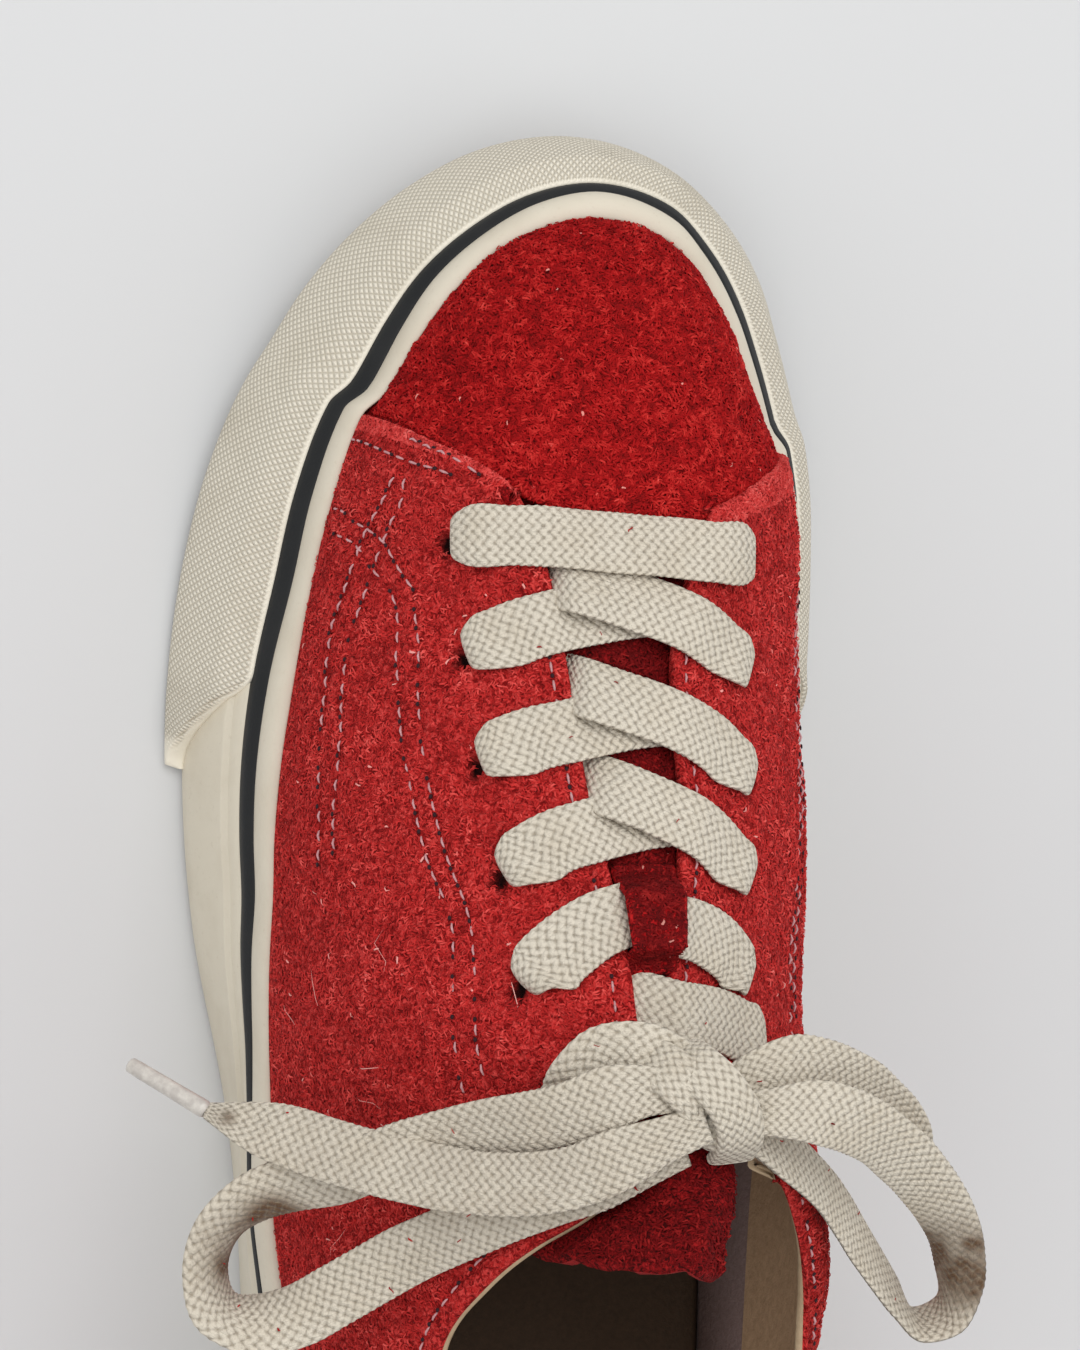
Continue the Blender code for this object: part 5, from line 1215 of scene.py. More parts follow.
def dimpled(grid, lines, tree):
    """Displacement of the leather: creases, pinched seams, eyelets and a soft unevenness; and how
    much each point is painted dark down an eyelet, as painted shade.
    """
    points = grid.reshape(-1, 3)
    out = sum(depth * noise(points, size, seed) for depth, size, seed in UNEVEN)
    for start, end, depth, width in CREASES:
        line = snapped(tree, np.linspace(start, end, 9))[0]
        out -= depth * np.exp(-(far_from(points, line) / width) ** 2)
    for line in lines:
        out -= SEAM_PINCH[0] * np.exp(-(far_from(points, line[::3]) / SEAM_PINCH[1]) ** 2)
    eyelet_shade = np.zeros(len(points))
    for side in EYELETS.values():
        for u, s in side:
            aside, ahead, up = EYELET_SHIFT
            pit = (u + np.sign(u) * aside, s + ahead, height_on(tree, u, s) + up)
            away = np.linalg.norm(points - pit, axis=1)
            out -= EYELET_PIT * (1 - ramp(away, EYELET_RADIUS * 0.4, EYELET_RADIUS * 0.7))
            out -= EYELET_DENT[0] * np.exp(-(away / EYELET_DENT[1]) ** 2)
            # painted shade down the pit
            eyelet_shade = np.maximum(eyelet_shade, 1 - ramp(away, EYELET_RADIUS * 0.4, EYELET_RADIUS * 0.62))
    return out.reshape(grid.shape[:2]), eyelet_shade.reshape(grid.shape[:2])


def leather_grid(places, heights, levels):
    """The upper's outer face, at heights up to the brim and at shares of the way above it."""
    rows = [edge_point(places, lower_inset(places, h), h) for h in heights]
    rows += [upper_point(places, v, overlay(places)) for v in levels]
    return np.stack(rows, axis=1)


def make_upper():
    """The suede upper: a wall with its outside, its cut edges and its lining."""
    places = side_columns(UPPER_COLUMN)
    levels = np.concatenate((np.linspace(*UPPER_LEVELS), (0.975, 0.99, 1.0)))
    grid = leather_grid(places, HIDDEN_HEIGHTS, levels)
    coarse = lap_places(240)
    tree = surface_tree((leather_grid(coarse, (UPPER_FOOT, BRIM), np.linspace(0.05, 1, 20)), True))
    normals = grid_normals(grid, True)
    lines = seam_lines(tree)
    out, eyelet_shade = dimpled(grid, lines, tree)
    out[:, :len(HIDDEN_HEIGHTS)] = 0
    grid = grid + normals * out[..., None]
    columns, rows = grid.shape[:2]

    top = grid[:, -1]
    up = unit(top - grid[:, -3])
    side = normals[:, -1]
    rim = [top - side * WALL * share + up * lift for share, lift in RIM]
    inside_rows = [rows - 1, *range(rows - 4, 3, -5), 3, 0]
    inner = [grid[:, k] - normals[:, k] * (WALL + np.maximum(out[:, k, None], -1.0))
             for k in inside_rows]
    full = np.concatenate((grid, np.stack(rim + inner, axis=1)), axis=1)
    total = full.shape[1]
    faces = quads(columns, total, True, True)
    row_of = faces[:, 0] % total
    inside = row_of >= rows + len(RIM) - 1
    slots = np.full(len(faces), QUARTER_LOOK)
    slots[inside] = LINING_LOOK
    slots[row_of >= rows + len(RIM) + LINING_ROWS] = INNER_DARKER_LOOK
    at = places[faces[:, 0] // total]
    start, end = KNOTS[ROW_FRONT_LATERAL], KNOTS[ROW_FRONT_MEDIAL]
    strip = (((at > start + STRIP_LATERAL[0]) & (at < start + STRIP_LATERAL[1]))
             | ((at > end + STRIP_MEDIAL[0]) & (at < end + STRIP_MEDIAL[1])))
    slots[(at > start) & (at < end) & (row_of < rows)] = VAMP_LOOK
    slots[strip & (row_of < rows)] = CUT_HIGHLIGHT_LOOK
    s_of = grid[faces[:, 0] // total, 0, 1]
    slots[inside & (s_of > LINING_FRONT)] = INNER_DARKER_LOOK
    slots[inside & (s_of > VAMP_LINING)] = VAMP_LOOK
    eyelet_shade = np.concatenate((eyelet_shade, np.zeros((columns, total - rows))), axis=1)
    obj = piece("upper_suede", full.reshape(-1, 3), faces,
                [SUEDE, LINING, INNER_DARKER, CUT_EDGE_HIGHLIGHT, QUARTER], slots=slots, fields={"eyelet_shade": eyelet_shade})
    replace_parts(obj, "upper")
    return places, grid, normals, tree, lines, eyelet_shade[:, :rows]


def along_line(line, places, marks):
    """Points of a line at distances along it."""
    return np.stack([np.interp(marks, places, line[:, k]) for k in range(3)], axis=1)


def make_stitches(lines, tree):
    """Thread showing along the seams, sunk into the nap, and dark beads between, painted shade for
    the needle's holes.
    """
    turn = turns(6)
    parts = []
    hole_shades = []
    for count, line in enumerate(lines):
        steps = run_of(line)
        marks = np.arange(STITCH_PITCH, steps[-1] - STITCH_PITCH, STITCH_PITCH)
        if not len(marks):
            continue
        spots, normals = snapped(tree, along_line(line, steps, marks))
        ways = unit(along_line(line, steps, marks + 0.3) - along_line(line, steps, marks - 0.3))
        for k, (spot, normal, way) in enumerate(zip(spots, normals, ways)):
            luck = hashed(np.array((k, count, 5)), 1)
            across = unit(np.cross(normal, way))
            if luck > HOLE_LUCK:
                hub = spot + way * STITCH_PITCH / 2 + normal * 0.30
                rings = [circle(hub + normal * lift, across * 0.8 * size, way * size, turn)
                         for size, lift in HOLE_RINGS]
                hole_shades.append((np.concatenate(rings), quads(5, 6, False, True)))
            if luck > LOST_LUCK:
                continue
            middle = spot + normal * (0.05 + 0.3 * luck)
            rings = []
            for share, size in STITCH_RINGS:
                hub = middle + way * STITCH_LENGTH / 2 * share - normal * 0.35 * share ** 2
                radius = STITCH_RADIUS * size
                rings.append(circle(hub, across * radius, normal * radius, turn))
            parts.append((np.concatenate(rings), quads(5, 6, False, True)))
    points, faces = joined(parts)
    piece("seam_stitches", points, faces, [THREAD])
    points, faces = joined(hole_shades)
    piece("seam_hole_shades", points, outward(points, faces), [NEEDLE_HOLE_SHADE])


PLACES, LEATHER, NORMALS, TREE, SEAMS, EYELET_SHADE_AREA = make_upper()
make_stitches(SEAMS, TREE)


# ---------------------------------------------------------------- laces

AROUND = 36                 # points round a lace's section
LACE_STEP = 0.6
LACE_ROWS = 11.0            # pairs of rows of stitches round a lace
LOBE_PITCH = 0.85           # lobes of the lace's edges per millimetre

# Soiled places of the laces, and painted shade inside the turns of the bow's loops: u, s, z, how
# far, how much
STAINS_AND_SHADE = ((-50.0, 113.0, 84.5, 7.0, 2.3), (60.0, 116.5, 71.0, 6.0, 2.0),
          (-46.0, 104.0, 79.0, 5.0, 0.3), (56.5, 121.5, 73.0, 5.0, 1.7),
          (63.4, 137.2, 72.0, 1.4, 1.0), (30.0, 128.0, 95.0, 22.0, 0.22),
          (50.0, 130.0, 82.0, 16.0, 0.2))
LINT = []                   # spots and directions on the laces where fibres may cling


def fine_rings(rings, step=LACE_STEP):
    """Lace rings as a smooth finer row of (centre, half width, half thickness)."""
    table = np.array([np.concatenate(ring) for ring in rings])
    knots = run_of(table[:, :3])
    places = np.linspace(0, knots[-1], max(4, int(knots[-1] / step)))
    fine = smooth(knots, table, places)
    return fine[:, :3], fine[:, 3:6], fine[:, 6:9], places


def lace_tube(rings, seed, cup=None):
    """Points, quads, end triangles, UVs and middle line of a flat braid with thick soft edges.

    cup is (share of the length, reach, depth) where the braid folds lengthwise.
    """
    centre, wide, thick, places = fine_rings(rings)
    turn = turns(AROUND)
    across = np.sign(np.cos(turn)) * np.abs(np.cos(turn)) ** 0.8
    over = np.sign(np.sin(turn)) * np.abs(np.sin(turn)) ** 0.75
    over = over * (0.86 + 0.22 * np.abs(across) ** 3)
    stations = len(centre)
    wave = noise(np.column_stack((places, np.full(stations, seed * 7.3), np.zeros(stations))),
                 6.0, seed)
    lobes = np.sin(places[:, None] * np.pi * LOBE_PITCH * 2 + np.sign(across) * 1.5)
    width = (1 + 0.025 * wave)[:, None] * (1 + 0.018 * lobes * np.abs(across) ** 6)
    bow = 0.12 * noise(np.column_stack((places, np.full(stations, seed * 3.1), np.ones(stations))),
                       9.0, seed + 5)
    if cup is not None:
        bow = bow - cup[2] * np.exp(-((places / places[-1] - cup[0]) / cup[1]) ** 2)
    lift = over[None, :] + bow[:, None] * (1 - np.abs(across[None, :]) ** 1.4)
    points = (centre[:, None] + wide[:, None] * (across[None, :] * width)[..., None]
              + thick[:, None] * lift[..., None])
    section = np.stack((across * LACE_WIDTH / 2, over * LACE_THICK / 2), axis=1)
    run = run_of(np.concatenate((section, section[:1])))
    half = run[:-1] / run[-1] * LACE_ROWS
    uv = np.stack((np.broadcast_to(half, (stations, AROUND)),
                   np.broadcast_to(places[:, None], (stations, AROUND))), axis=-1)
    way_up = unit(thick) * np.sign(thick[:, 2:3])
    top = AROUND // 4 if thick[stations // 2, 2] > 0 else AROUND * 3 // 4
    for k in range(5, stations - 5, 6):
        LINT.append((points[k, top + (k * 7) % 9 - 4], way_up[k]))
    ring = np.arange(AROUND)
    ahead = (ring + 1) % AROUND
    last = (stations - 1) * AROUND
    hub = np.full(AROUND, stations * AROUND)
    tips = np.concatenate((np.stack((hub, ring, ahead), axis=1),
                           np.stack((hub + 1, last + ahead, last + ring), axis=1)))
    spots = np.concatenate((points.reshape(-1, 3), centre[[0, -1]]))
    uvs = np.concatenate((uv.reshape(-1, 2), uv[[0, -1], 0]))
    return spots, quads(stations, AROUND, False, True), tips, uvs, centre


def lace_piece(name, runs, seed, cup=None):
    """One piece of lace, or several joined, from rows of rings, and its middle line."""
    tubes = [lace_tube(rings, seed + count, cup) for count, rings in enumerate(runs)]
    points, squares = joined([tube[:2] for tube in tubes])
    tips = joined([(tube[0], tube[2]) for tube in tubes])[1]
    obj = piece(name, points, outward(points, squares), [COTTON], tips,
                np.concatenate([tube[3] for tube in tubes]), fields={"stain_and_shade": soiled_and_shaded(points)})
    return obj, tubes[-1][4]


def soiled_and_shaded(points):
    """How stained a lace is at its points, with painted shade inside the loops' turns."""
    stain_and_shade = np.zeros(len(points))
    for *spot, reach, depth in STAINS_AND_SHADE:
        away = np.linalg.norm(points - np.array(spot), axis=1)
        stain_and_shade = np.maximum(stain_and_shade, np.minimum(1.0, depth * np.exp(-(away / reach) ** 2)))
    return stain_and_shade


# Share of its width and of its thickness where a lace leaves the knot, and the run of the change
GATHER = (0.62, 1.7, (2.0, 15.0))


def gathered(rings, both):
    """A lace drawn together where it leaves the knot, at one end or at both."""
    line = np.array([ring[0] for ring in rings])
    run = run_of(line)
    away = np.minimum(run, run[-1] - run) if both else run
    narrow, deep, run = GATHER
    share = ramp(away, *run)
    wide = narrow + (1 - narrow) * share
    thick = deep - (deep - 1) * share
    return [(c, w * a, t * b) for (c, w, t), a, b in zip(rings, wide, thick)]


def cord(name, far_end, seed, taper, cup):
    """Free lace of the bow.

    taper is where it narrows, and to what share of its width.
    """
    rings = gathered(settle(route_rings(BOW_ROUTES[name], BOW_WIDTH), BED), far_end == "object")
    if taper:
        start, narrow = taper
        shares = ramp(np.arange(len(rings)) / (len(rings) - 1), start, 1.0)
        rings = [(c, w * (1 - (1 - narrow) * share), t * (1 + 0.2 * share))
                 for (c, w, t), share in zip(rings, shares)]
    obj, path = lace_piece(name, [rings], seed, cup)
    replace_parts(obj, "lace_bow")


def make_aglet():
    """Clear plastic tip rolled round the lace's end."""
    tail = np.array(BOW_ROUTES["end_lateral"][-1][:3])
    way = np.array(AGLET_END) - tail
    along = unit(way)
    side = unit(np.cross(along, (0.0, 0.0, 1.0)))
    up = np.cross(side, along)
    rings = [circle(tail + way * share, side * radius, up * radius, turns(AGLET_SIDES))
             for share, radius in AGLET_RINGS]
    points = np.concatenate(rings + [AGLET_END - along[None] * 0.4, tail[None]])
    ring = np.arange(AGLET_SIDES)
    ahead = (ring + 1) % AGLET_SIDES
    last = (len(rings) - 1) * AGLET_SIDES
    hub = np.full(AGLET_SIDES, last + AGLET_SIDES)
    tips = np.concatenate((np.stack((hub, last + ring, last + ahead), axis=1),
                           np.stack((hub + 1, ahead, ring), axis=1)))
    faces = outward(points, quads(len(rings), AGLET_SIDES, False, True))
    obj = piece("aglet_tip", points, faces, [PLASTIC], tips)
    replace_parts(obj, "aglet")
    return obj


def plastic_look():
    """Cloudy clear plastic, scuffed and half glossy."""
    look = Look("aglet_plastic", 0.35, 0.5)
    cloud = look.span(look.noise(1.6, 3.0, 0.6), 0.4, 0.7)
    look.colour(look.mix(cloud, (0.50, 0.46, 0.42), (0.66, 0.62, 0.56)))
    look.bump(look.noise(1.1, 2.0), 0.15)
    look.shader.inputs["Coat Weight"].default_value = 0.4
    look.shader.inputs["Coat Roughness"].default_value = 0.25
    return look.mat


AGLET_SIDES = 20
# Rings of the lace's plastic tip: share of its length, radius
AGLET_RINGS = ((0.0, 1.15), (0.04, 1.4), (0.1, 1.42), (0.3, 1.36), (0.6, 1.3), (0.9, 1.27),
               (0.985, 1.2), (1.0, 1.02), (1.0, 0.55), (0.98, 0.3))
PLASTIC = plastic_look()
TONGUE_BED = surface_tree((tongue_grid(), False))
# leather and tongue together, for laying laces on
BED_LEATHER = leather_grid(lap_places(200), (UPPER_FOOT, BELT, BRIM), np.linspace(0.1, 1, 12))
BED = surface_tree((BED_LEATHER, True), (tongue_grid(), False))


KNOT_LACE = (0.82, 1.9)     # share of its width and of its thickness that the lace has in the knot
KNOT_STEP = 3.0
KNOT_MESH = (15, 32)        # rows and sides of the knot's core
# Loops and ends: piece and route, far end, seed, where it tapers, where and how it folds lengthwise
CORDS = (
    ("loop_lateral", "object", 11, None, (0.49, 0.10, -2.4)),
    ("end_lateral", "bare", 23, (0.86, 0.28), (0.93, 0.05, 1.2)),
    ("loop_medial", "object", 37, None, (0.47, 0.10, -1.8)),
    ("end_medial", "bare", 41, (0.7, 0.45), None),
)


def make_bow():
    """Knot, loops and ends."""
    tips = {"end_lateral": [make_aglet()]}
    for name, far_end, seed, taper, cup in CORDS:
        cord(name, far_end, seed, taper, cup)
    narrow, deep = KNOT_LACE
    runs = [[(c, w * narrow, t * deep) for c, w, t in route_rings(route, LACE_WIDTH, KNOT_STEP)]
            for route in KNOT_WRAPS]
    runs.append(settle(route_rings(BOW_ROUTES["lead_lateral"], BOW_WIDTH), BED))
    knot, _ = lace_piece("lace_knot", runs, 53)
    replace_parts(knot, "lace_bow")
    radius_u, radius_s, radius_z = KNOT_RADII
    rows, sides = KNOT_MESH
    levels = np.linspace(-1, 1, rows + 2)[1:-1] * np.pi / 2
    rings = [circle(KNOT_CENTRE + np.array((0, 0, np.sin(a) * radius_z)),
                    (np.cos(a) * radius_u, 0, 0), (0, np.cos(a) * radius_s, 0), turns(sides))
             for a in levels]
    end = np.arange(0, sides, sides // 4)
    ends = np.array([end, end[::-1] + (rows - 1) * sides])
    uv = np.stack((np.tile(np.arange(sides) / 2, rows), np.repeat(np.arange(rows), sides)), axis=-1)
    faces = np.concatenate((quads(rows, sides, False, True), ends))
    core = piece("knot_core", np.concatenate(rings), faces, [COTTON], uv=uv)
    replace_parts(core, "lace_bow")


LACE_CROSS = 0.15           # room left for the weave between two laces that cross
TUCKED = 4.5                # length of a lace's end under the throat's edge
EDGE_DIP = 1.4              # and how far its end goes down there
# Fold of a lace into its eyelet: height, distance from the eyelet, share of its width
LACE_FOLD = ((-2.6, 1.3, 0.34), (-0.3, 0.6, 0.48), (1.0, 1.0, 0.70), (1.6, 2.8, 0.93))
# Crossings over the throat as (u, s), named by their row from the toe
ROWS = {
    "bar_1": ((23.6, 225.2), (14.5, 225.8), (0.2, 224.7), (-12.8, 223.6), (-25.2, 222.0)),
    "under_2": ((22.9, 207.2), (14.9, 211.2), (3.8, 213.6), (-4.0, 214.6), (-10.0, 215.0)),
    "over_2": ((9.9, 219.0), (7.4, 218.5), (-3.3, 215.4), (-11.6, 212.2), (-18.6, 207.6),
               (-22.9, 203.6)),
    "under_3": ((22.7, 190.8), (16.8, 194.0), (7.9, 196.2), (-1.0, 197.6), (-6.5, 198.0)),
    "over_3": ((8.9, 203.0), (2.6, 200.8), (-6.8, 197.4), (-14.0, 193.4), (-20.9, 186.6)),
    "under_4": ((21.3, 173.9), (13.8, 179.2), (6.7, 181.2), (-1.0, 182.6), (-6.0, 183.0)),
    "over_4": ((8.1, 188.4), (-1.9, 184.4), (-10.2, 180.0), (-15.8, 174.6), (-18.4, 171.6)),
    "lateral_5": ((20.3, 157.4), (15.0, 163.0), (6.7, 168.0), (1.5, 169.0)),
    "medial_5": ((-0.5, 167.0), (-7.0, 165.2), (-12.6, 161.6), (-16.6, 156.4)),
    "strap_6": ((8.6, 156.8), (-0.5, 154.0), (-9.3, 151.9), (-18.8, 147.5)),
}


def ring_tree(rings):
    """Top of a lace, for laying another one over it."""
    grid = [[c + w * share + t * np.sign(t[2]) for share in (-1.1, -0.6, 0.0, 0.6, 1.1)]
            for c, w, t in rings]
    return surface_tree((np.array(grid), False))


def draped(route, ends, below=None):
    """Rings of a lace pulled over the shoe along a few (u, s) points.

    Each end goes into an "eyelet", under a throat "edge", or stays "free" under the keeper.
    below is the top of a lace that this one crosses.
    """
    route = np.array(route, dtype=float)
    knots = run_of(route)
    places = np.linspace(0, knots[-1], STRAP_STATIONS)
    plan = smooth(knots, route, places)
    travel = unit(np.gradient(plan, axis=0))
    side = np.stack((travel[:, 1], -travel[:, 0]), axis=1)
    lines = []
    for shift in (-LACE_WIDTH / 2, 0.0, LACE_WIDTH / 2):
        spots = plan + side * shift
        z = []
        for spot, place in zip(spots, places):
            tucked = ((ends[0] == "edge" and place < TUCKED)
                      or (ends[1] == "edge" and knots[-1] - place < TUCKED))
            height = height_on(TONGUE_BED if tucked else BED, *spot)
            if below is not None and place > 1.0:
                height = max(height, height_on(below, *spot) + LACE_CROSS)
            z.append(height)
        z = np.array(z)
        good = z > NOTHING_BELOW
        z = np.interp(places, places[good], z[good])
        lines.append(np.column_stack((spots, taut(places, z))))
    low, middle, high = lines
    centre = (low + high) / 2
    centre[:, 2] = np.maximum(centre[:, 2], middle[:, 2]) + LACE_LIFT + LACE_THICK / 2
    wide = (high - low) / 2
    flow = np.gradient(centre, axis=0)
    rings = [(c, w, square_to(t, w, LACE_THICK)) for c, w, t in zip(centre, wide, flow)]
    rings = settle(rings, BED) if "edge" not in ends else rings
    for end, kind in enumerate(ends):
        if kind == "eyelet":
            at, inward = (0, 3) if end == 0 else (-1, -4)
            tips = mouth(plan[at], centre[inward] - centre[at], wide[at])
            rings = tips + rings[2:] if end == 0 else rings[:-2] + tips[::-1]
        if kind == "edge":
            rings[-end][0][2] -= EDGE_DIP
    return rings


def mouth(eyelet, toward, wide):
    """Rings of a lace's end that folds down into its eyelet."""
    hit = look_down(BED, *eyelet)
    point, normal = np.array(hit[0]), np.array(hit[1])
    normal *= np.sign(normal[2])
    toward = unit(toward - normal * np.dot(toward, normal))
    across = np.cross(normal, toward)
    across *= np.sign(np.dot(across, wide)) * LACE_WIDTH / 2
    half = LACE_THICK / 2
    turns_over = (-toward, normal * 0.2 - toward, unit(normal - toward * 0.8), normal)
    return [(point + normal * up + toward * out, across * share, turn * half)
            for (up, out, share), turn in zip(LACE_FOLD, turns_over)]


def make_laces():
    """Bars and crossings over the throat."""
    for row in (4, 3, 2):
        under = draped(ROWS[f"under_{row}"], ("eyelet", "edge"))
        over = draped(ROWS[f"over_{row}"], ("edge", "eyelet"), ring_tree(under))
        cross, _ = lace_piece(f"lace_row_{row}", [under, over], 60 + row * 4)
        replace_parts(cross, f"lace_cross_{row}")
    for name, node, route, ends, below, seed in (
            ("lace_row_1", "lace_bar_1", "bar_1", ("eyelet", "eyelet"), ring_tree(over), 3),
            ("lace_row_5_lateral", "lace_under_lateral", "lateral_5", ("eyelet", "free"), None, 83),
            ("lace_row_5_medial", "lace_under_medial", "medial_5", ("free", "eyelet"), None, 87),
            ("lace_row_6", "lace_top_strap", "strap_6", ("edge", "eyelet"), None, 91)):
        strap, _ = lace_piece(name, [draped(ROWS[route], ends, below)], seed)
        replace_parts(strap, node)


make_bow()
make_laces()


# ---------------------------------------------------------------- tongue, keeper and collar

TONGUE_MESH = (130, 60)
# How far the medial edge of the tongue reaches past the solid's: at s, by
TONGUE_REACH = ((116, 124, 134, 142, 150, 222, 228), (0.5, 2.5, 4.2, 3.0, 1.9, 1.9, 0.0))
TONGUE_FLAT = 30            # row of its mesh from which it lies flat across the throat
WORN_END = (118.0, 128.0)   # s over which its free end is worn
TONGUE_CORNER = (0.80, 0.93)    # share of its width where the curled corner begins
FRAY = (2.0, 0.9, 3.2)      # how far the end is worn off, and the depth and size of its raggedness
CURL = 4.0                  # how far the corner hangs down
TONGUE_FRONT = (206.0, 218.0)   # s over which the tongue rises under the vamp's edge
FRONT_LIFT = 1.6
ROOT_LIFT = (0.7, (222.0, 229.0), (233.0, 236.0))   # and a little more between these runs
PUFF = ((0.35, 12.0, 8), (0.2, 5.0, 9))     # padding's unevenness: depth, size, seed
KEEPER_MESH = (41, 21)
KEEPER_EDGE = 0.6           # how much wider its raw edges make it
BINDING_COLUMNS = 300
# Section of the collar's binding: the line it is measured from, and how far out and up
BINDING_SECTION = (
    ("edge", 0.0, -0.8), ("edge", 0.0, -0.1), ("edge", 0.0, 0.3), ("edge", -0.12, 0.62),
    ("edge", -0.5, 0.85), ("inner", 0.3, 0.85), ("inner", -0.1, 0.7), ("inner", -0.35, 0.25),
    ("inner", -0.45, -0.5), ("low", -0.25, 0.0), ("low", 0.2, 0.0), ("inner", 0.2, 0.0))
BINDING_EDGE = 0.42         # share of the wall, from inside, where the binding's edge lies


def make_tongue():
    """Padded tongue of thick suede with a raw edge, its corner curling at the top."""
    grid = refine(tongue_grid(), *TONGUE_MESH)
    points = grid.reshape(-1, 3)
    # the medial edge reaches under the quarter, and the free end is worn, with a curled corner
    across = np.linspace(0, 1, grid.shape[1])
    s = grid[..., 1]
    reach = np.interp(s, *TONGUE_REACH)
    outward_way = unit(grid[:, -1] - grid[:, TONGUE_FLAT])[:, None]
    worn = ramp(-s, -WORN_END[1], -WORN_END[0])
    corner = ramp(across, *TONGUE_CORNER)
    front = ramp(s, *TONGUE_FRONT)
    ragged = FRAY[0] * (1 - corner) + FRAY[1] * noise(points, FRAY[2], 12).reshape(s.shape)
    grid = grid + outward_way * (reach * ramp(across, 0.6, 1.0))[..., None]
    grid[..., 1] += worn * ragged
    root = ramp(s, *ROOT_LIFT[1]) * (1 - ramp(s, *ROOT_LIFT[2]))
    grid[..., 2] += FRONT_LIFT * front + ROOT_LIFT[0] * root
    grid[..., 2] -= CURL * worn * corner
    points = grid.reshape(-1, 3)
    normals = upward_normals(grid)
    puff = sum(depth * noise(points, size, seed) for depth, size, seed in PUFF)
    grid = grid + normals * puff.reshape(grid.shape[:2])[..., None]
    points, faces = shell(grid, normals, TONGUE_THICK)
    slots = np.where(faces.min(axis=1) >= grid[..., 0].size, 1, 0)
    obj = piece("tongue_suede", points, outward(points, faces), [TONGUE_SHADED_SUEDE, FLESH], slots=slots,
                fields={"eyelet_shade": np.zeros(len(points))})
    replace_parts(obj, "tongue")
    return grid, normals


def make_keeper():
    """Suede strap on the tongue, sewn down at both ends."""
    rear, front = np.array(KEEPER)
    shares = np.linspace(0, 1, KEEPER_MESH[0])
    rise = KEEPER_ARCH * ramp(shares, *KEEPER_FOOT) * ramp(1 - shares, *KEEPER_FOOT)
    rows = []
    for share, up in zip(shares, rise):
        s, u0, u1 = rear + (front - rear) * share
        across = np.linspace(u0 - KEEPER_EDGE, u1 + KEEPER_EDGE, KEEPER_MESH[1])
        heights = np.array([height_on(TONGUE_BED, u, s) for u in across])
        found = heights > NOTHING_BELOW
        heights = np.interp(across, across[found], heights[found])
        level = np.linspace(heights[0], heights[-1], len(across))
        z = np.maximum(heights, level + (heights - level).max() * 0.8)
        z = z + up + KEEPER_CLEAR + KEEPER_THICK
        rows.append(np.column_stack((across, np.full(len(across), s), z)))
    grid = np.stack(rows)
    normals = upward_normals(grid)
    points, faces = shell(grid, normals, KEEPER_THICK, lip=0.9)
    obj = piece("keeper_strap", points, outward(points, faces), [SUEDE],
                fields={"eyelet_shade": np.zeros(len(points))})
    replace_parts(obj, "lace_keeper")
    return grid, normals


def make_binding():
    """Narrow leather binding folded over the collar's edge."""
    start, end = KNOTS[ROW_CORNER_MEDIAL] - LAP + 3, KNOTS[ROW_CORNER_LATERAL] - 3
    places = np.linspace(start, end, BINDING_COLUMNS)
    out = upper_point(places, 1.0, overlay(places))
    inner = upper_point(places, 1.0, OVERLAY - WALL)
    up = unit(out - upper_point(places, 0.95, overlay(places)))
    side = unit(out - inner)
    lines = {"edge": out * BINDING_EDGE + inner * (1 - BINDING_EDGE), "inner": inner,
             "low": upper_point(places, 0.90, OVERLAY - WALL - 0.35)}
    grid = np.stack([lines[line] + side * away + up * rise for line, away, rise in BINDING_SECTION],
                    axis=1)
    ripple = 0.12 * noise(grid.reshape(-1, 3), 5.0, 21).reshape(grid.shape[:2])
    grid = grid + side[:, None] * ripple[..., None]
    faces = quads(*grid.shape[:2], False, True)
    ends = np.array([[0, 1, 2, 3], [0, 3, 4, 11], [4, 5, 6, 11], [6, 7, 8, 11], [8, 9, 10, 11]])
    last = len(grid.reshape(-1, 3)) - grid.shape[1]
    faces = np.concatenate((faces, ends, ends[:, ::-1] + last))
    obj = piece("collar_binding", grid.reshape(-1, 3), faces, [BINDING])


TONGUE = make_tongue()
STRAP = make_keeper()
make_binding()


# ---------------------------------------------------------------- nap

def sample(grid, normals, wanted, rng, wrap, keep=None):
    """Random spots on a grid by area, and the normals there; keep tells where there are any."""
    columns, rows = grid.shape[:2]
    i, j = np.meshgrid(np.arange(columns - (not wrap)), np.arange(rows - 1), indexing="ij")
    i, j = i.ravel(), j.ravel()
    a, b = grid[i, j], grid[(i + 1) % columns, j]
    c, d = grid[i, j + 1], grid[(i + 1) % columns, j + 1]
    area = np.linalg.norm(np.cross(b - a, c - a), axis=1)
    if keep is not None:
        area = area * keep[i, j]
    edges = np.cumsum(area)
    pick = np.searchsorted(edges, rng.random(wanted) * edges[-1])
    pick = np.clip(pick, 0, len(i) - 1)
    f = rng.random((wanted, 1))
    g = rng.random((wanted, 1))
    a, b, c, d = a[pick], b[pick], c[pick], d[pick]
    spots = (a * (1 - f) + b * f) * (1 - g) + (c * (1 - f) + d * f) * g
    return spots, unit(normals[i[pick], j[pick]])


# Faces of one strand, and how much darker or lighter its eight points are painted: painted
# highlight along its ridge, painted shade on its sides and on its ends sunk in the nap
STRAND = np.array(((0, 1, 2), (0, 2, 3), (1, 4, 5), (1, 5, 2), (2, 5, 6), (2, 6, 3),
                   (4, 7, 5), (5, 7, 6)))
STRAND_BEND = 0.18          # share of its length from its middle to its two bends
STRAND_SHADING = (-0.22, -0.12, 0.05, -0.12, -0.12, 0.05, -0.12, -0.22)
BRUSHED = (0.13, 1.0, 0.21)     # direction that the nap's swirls start from


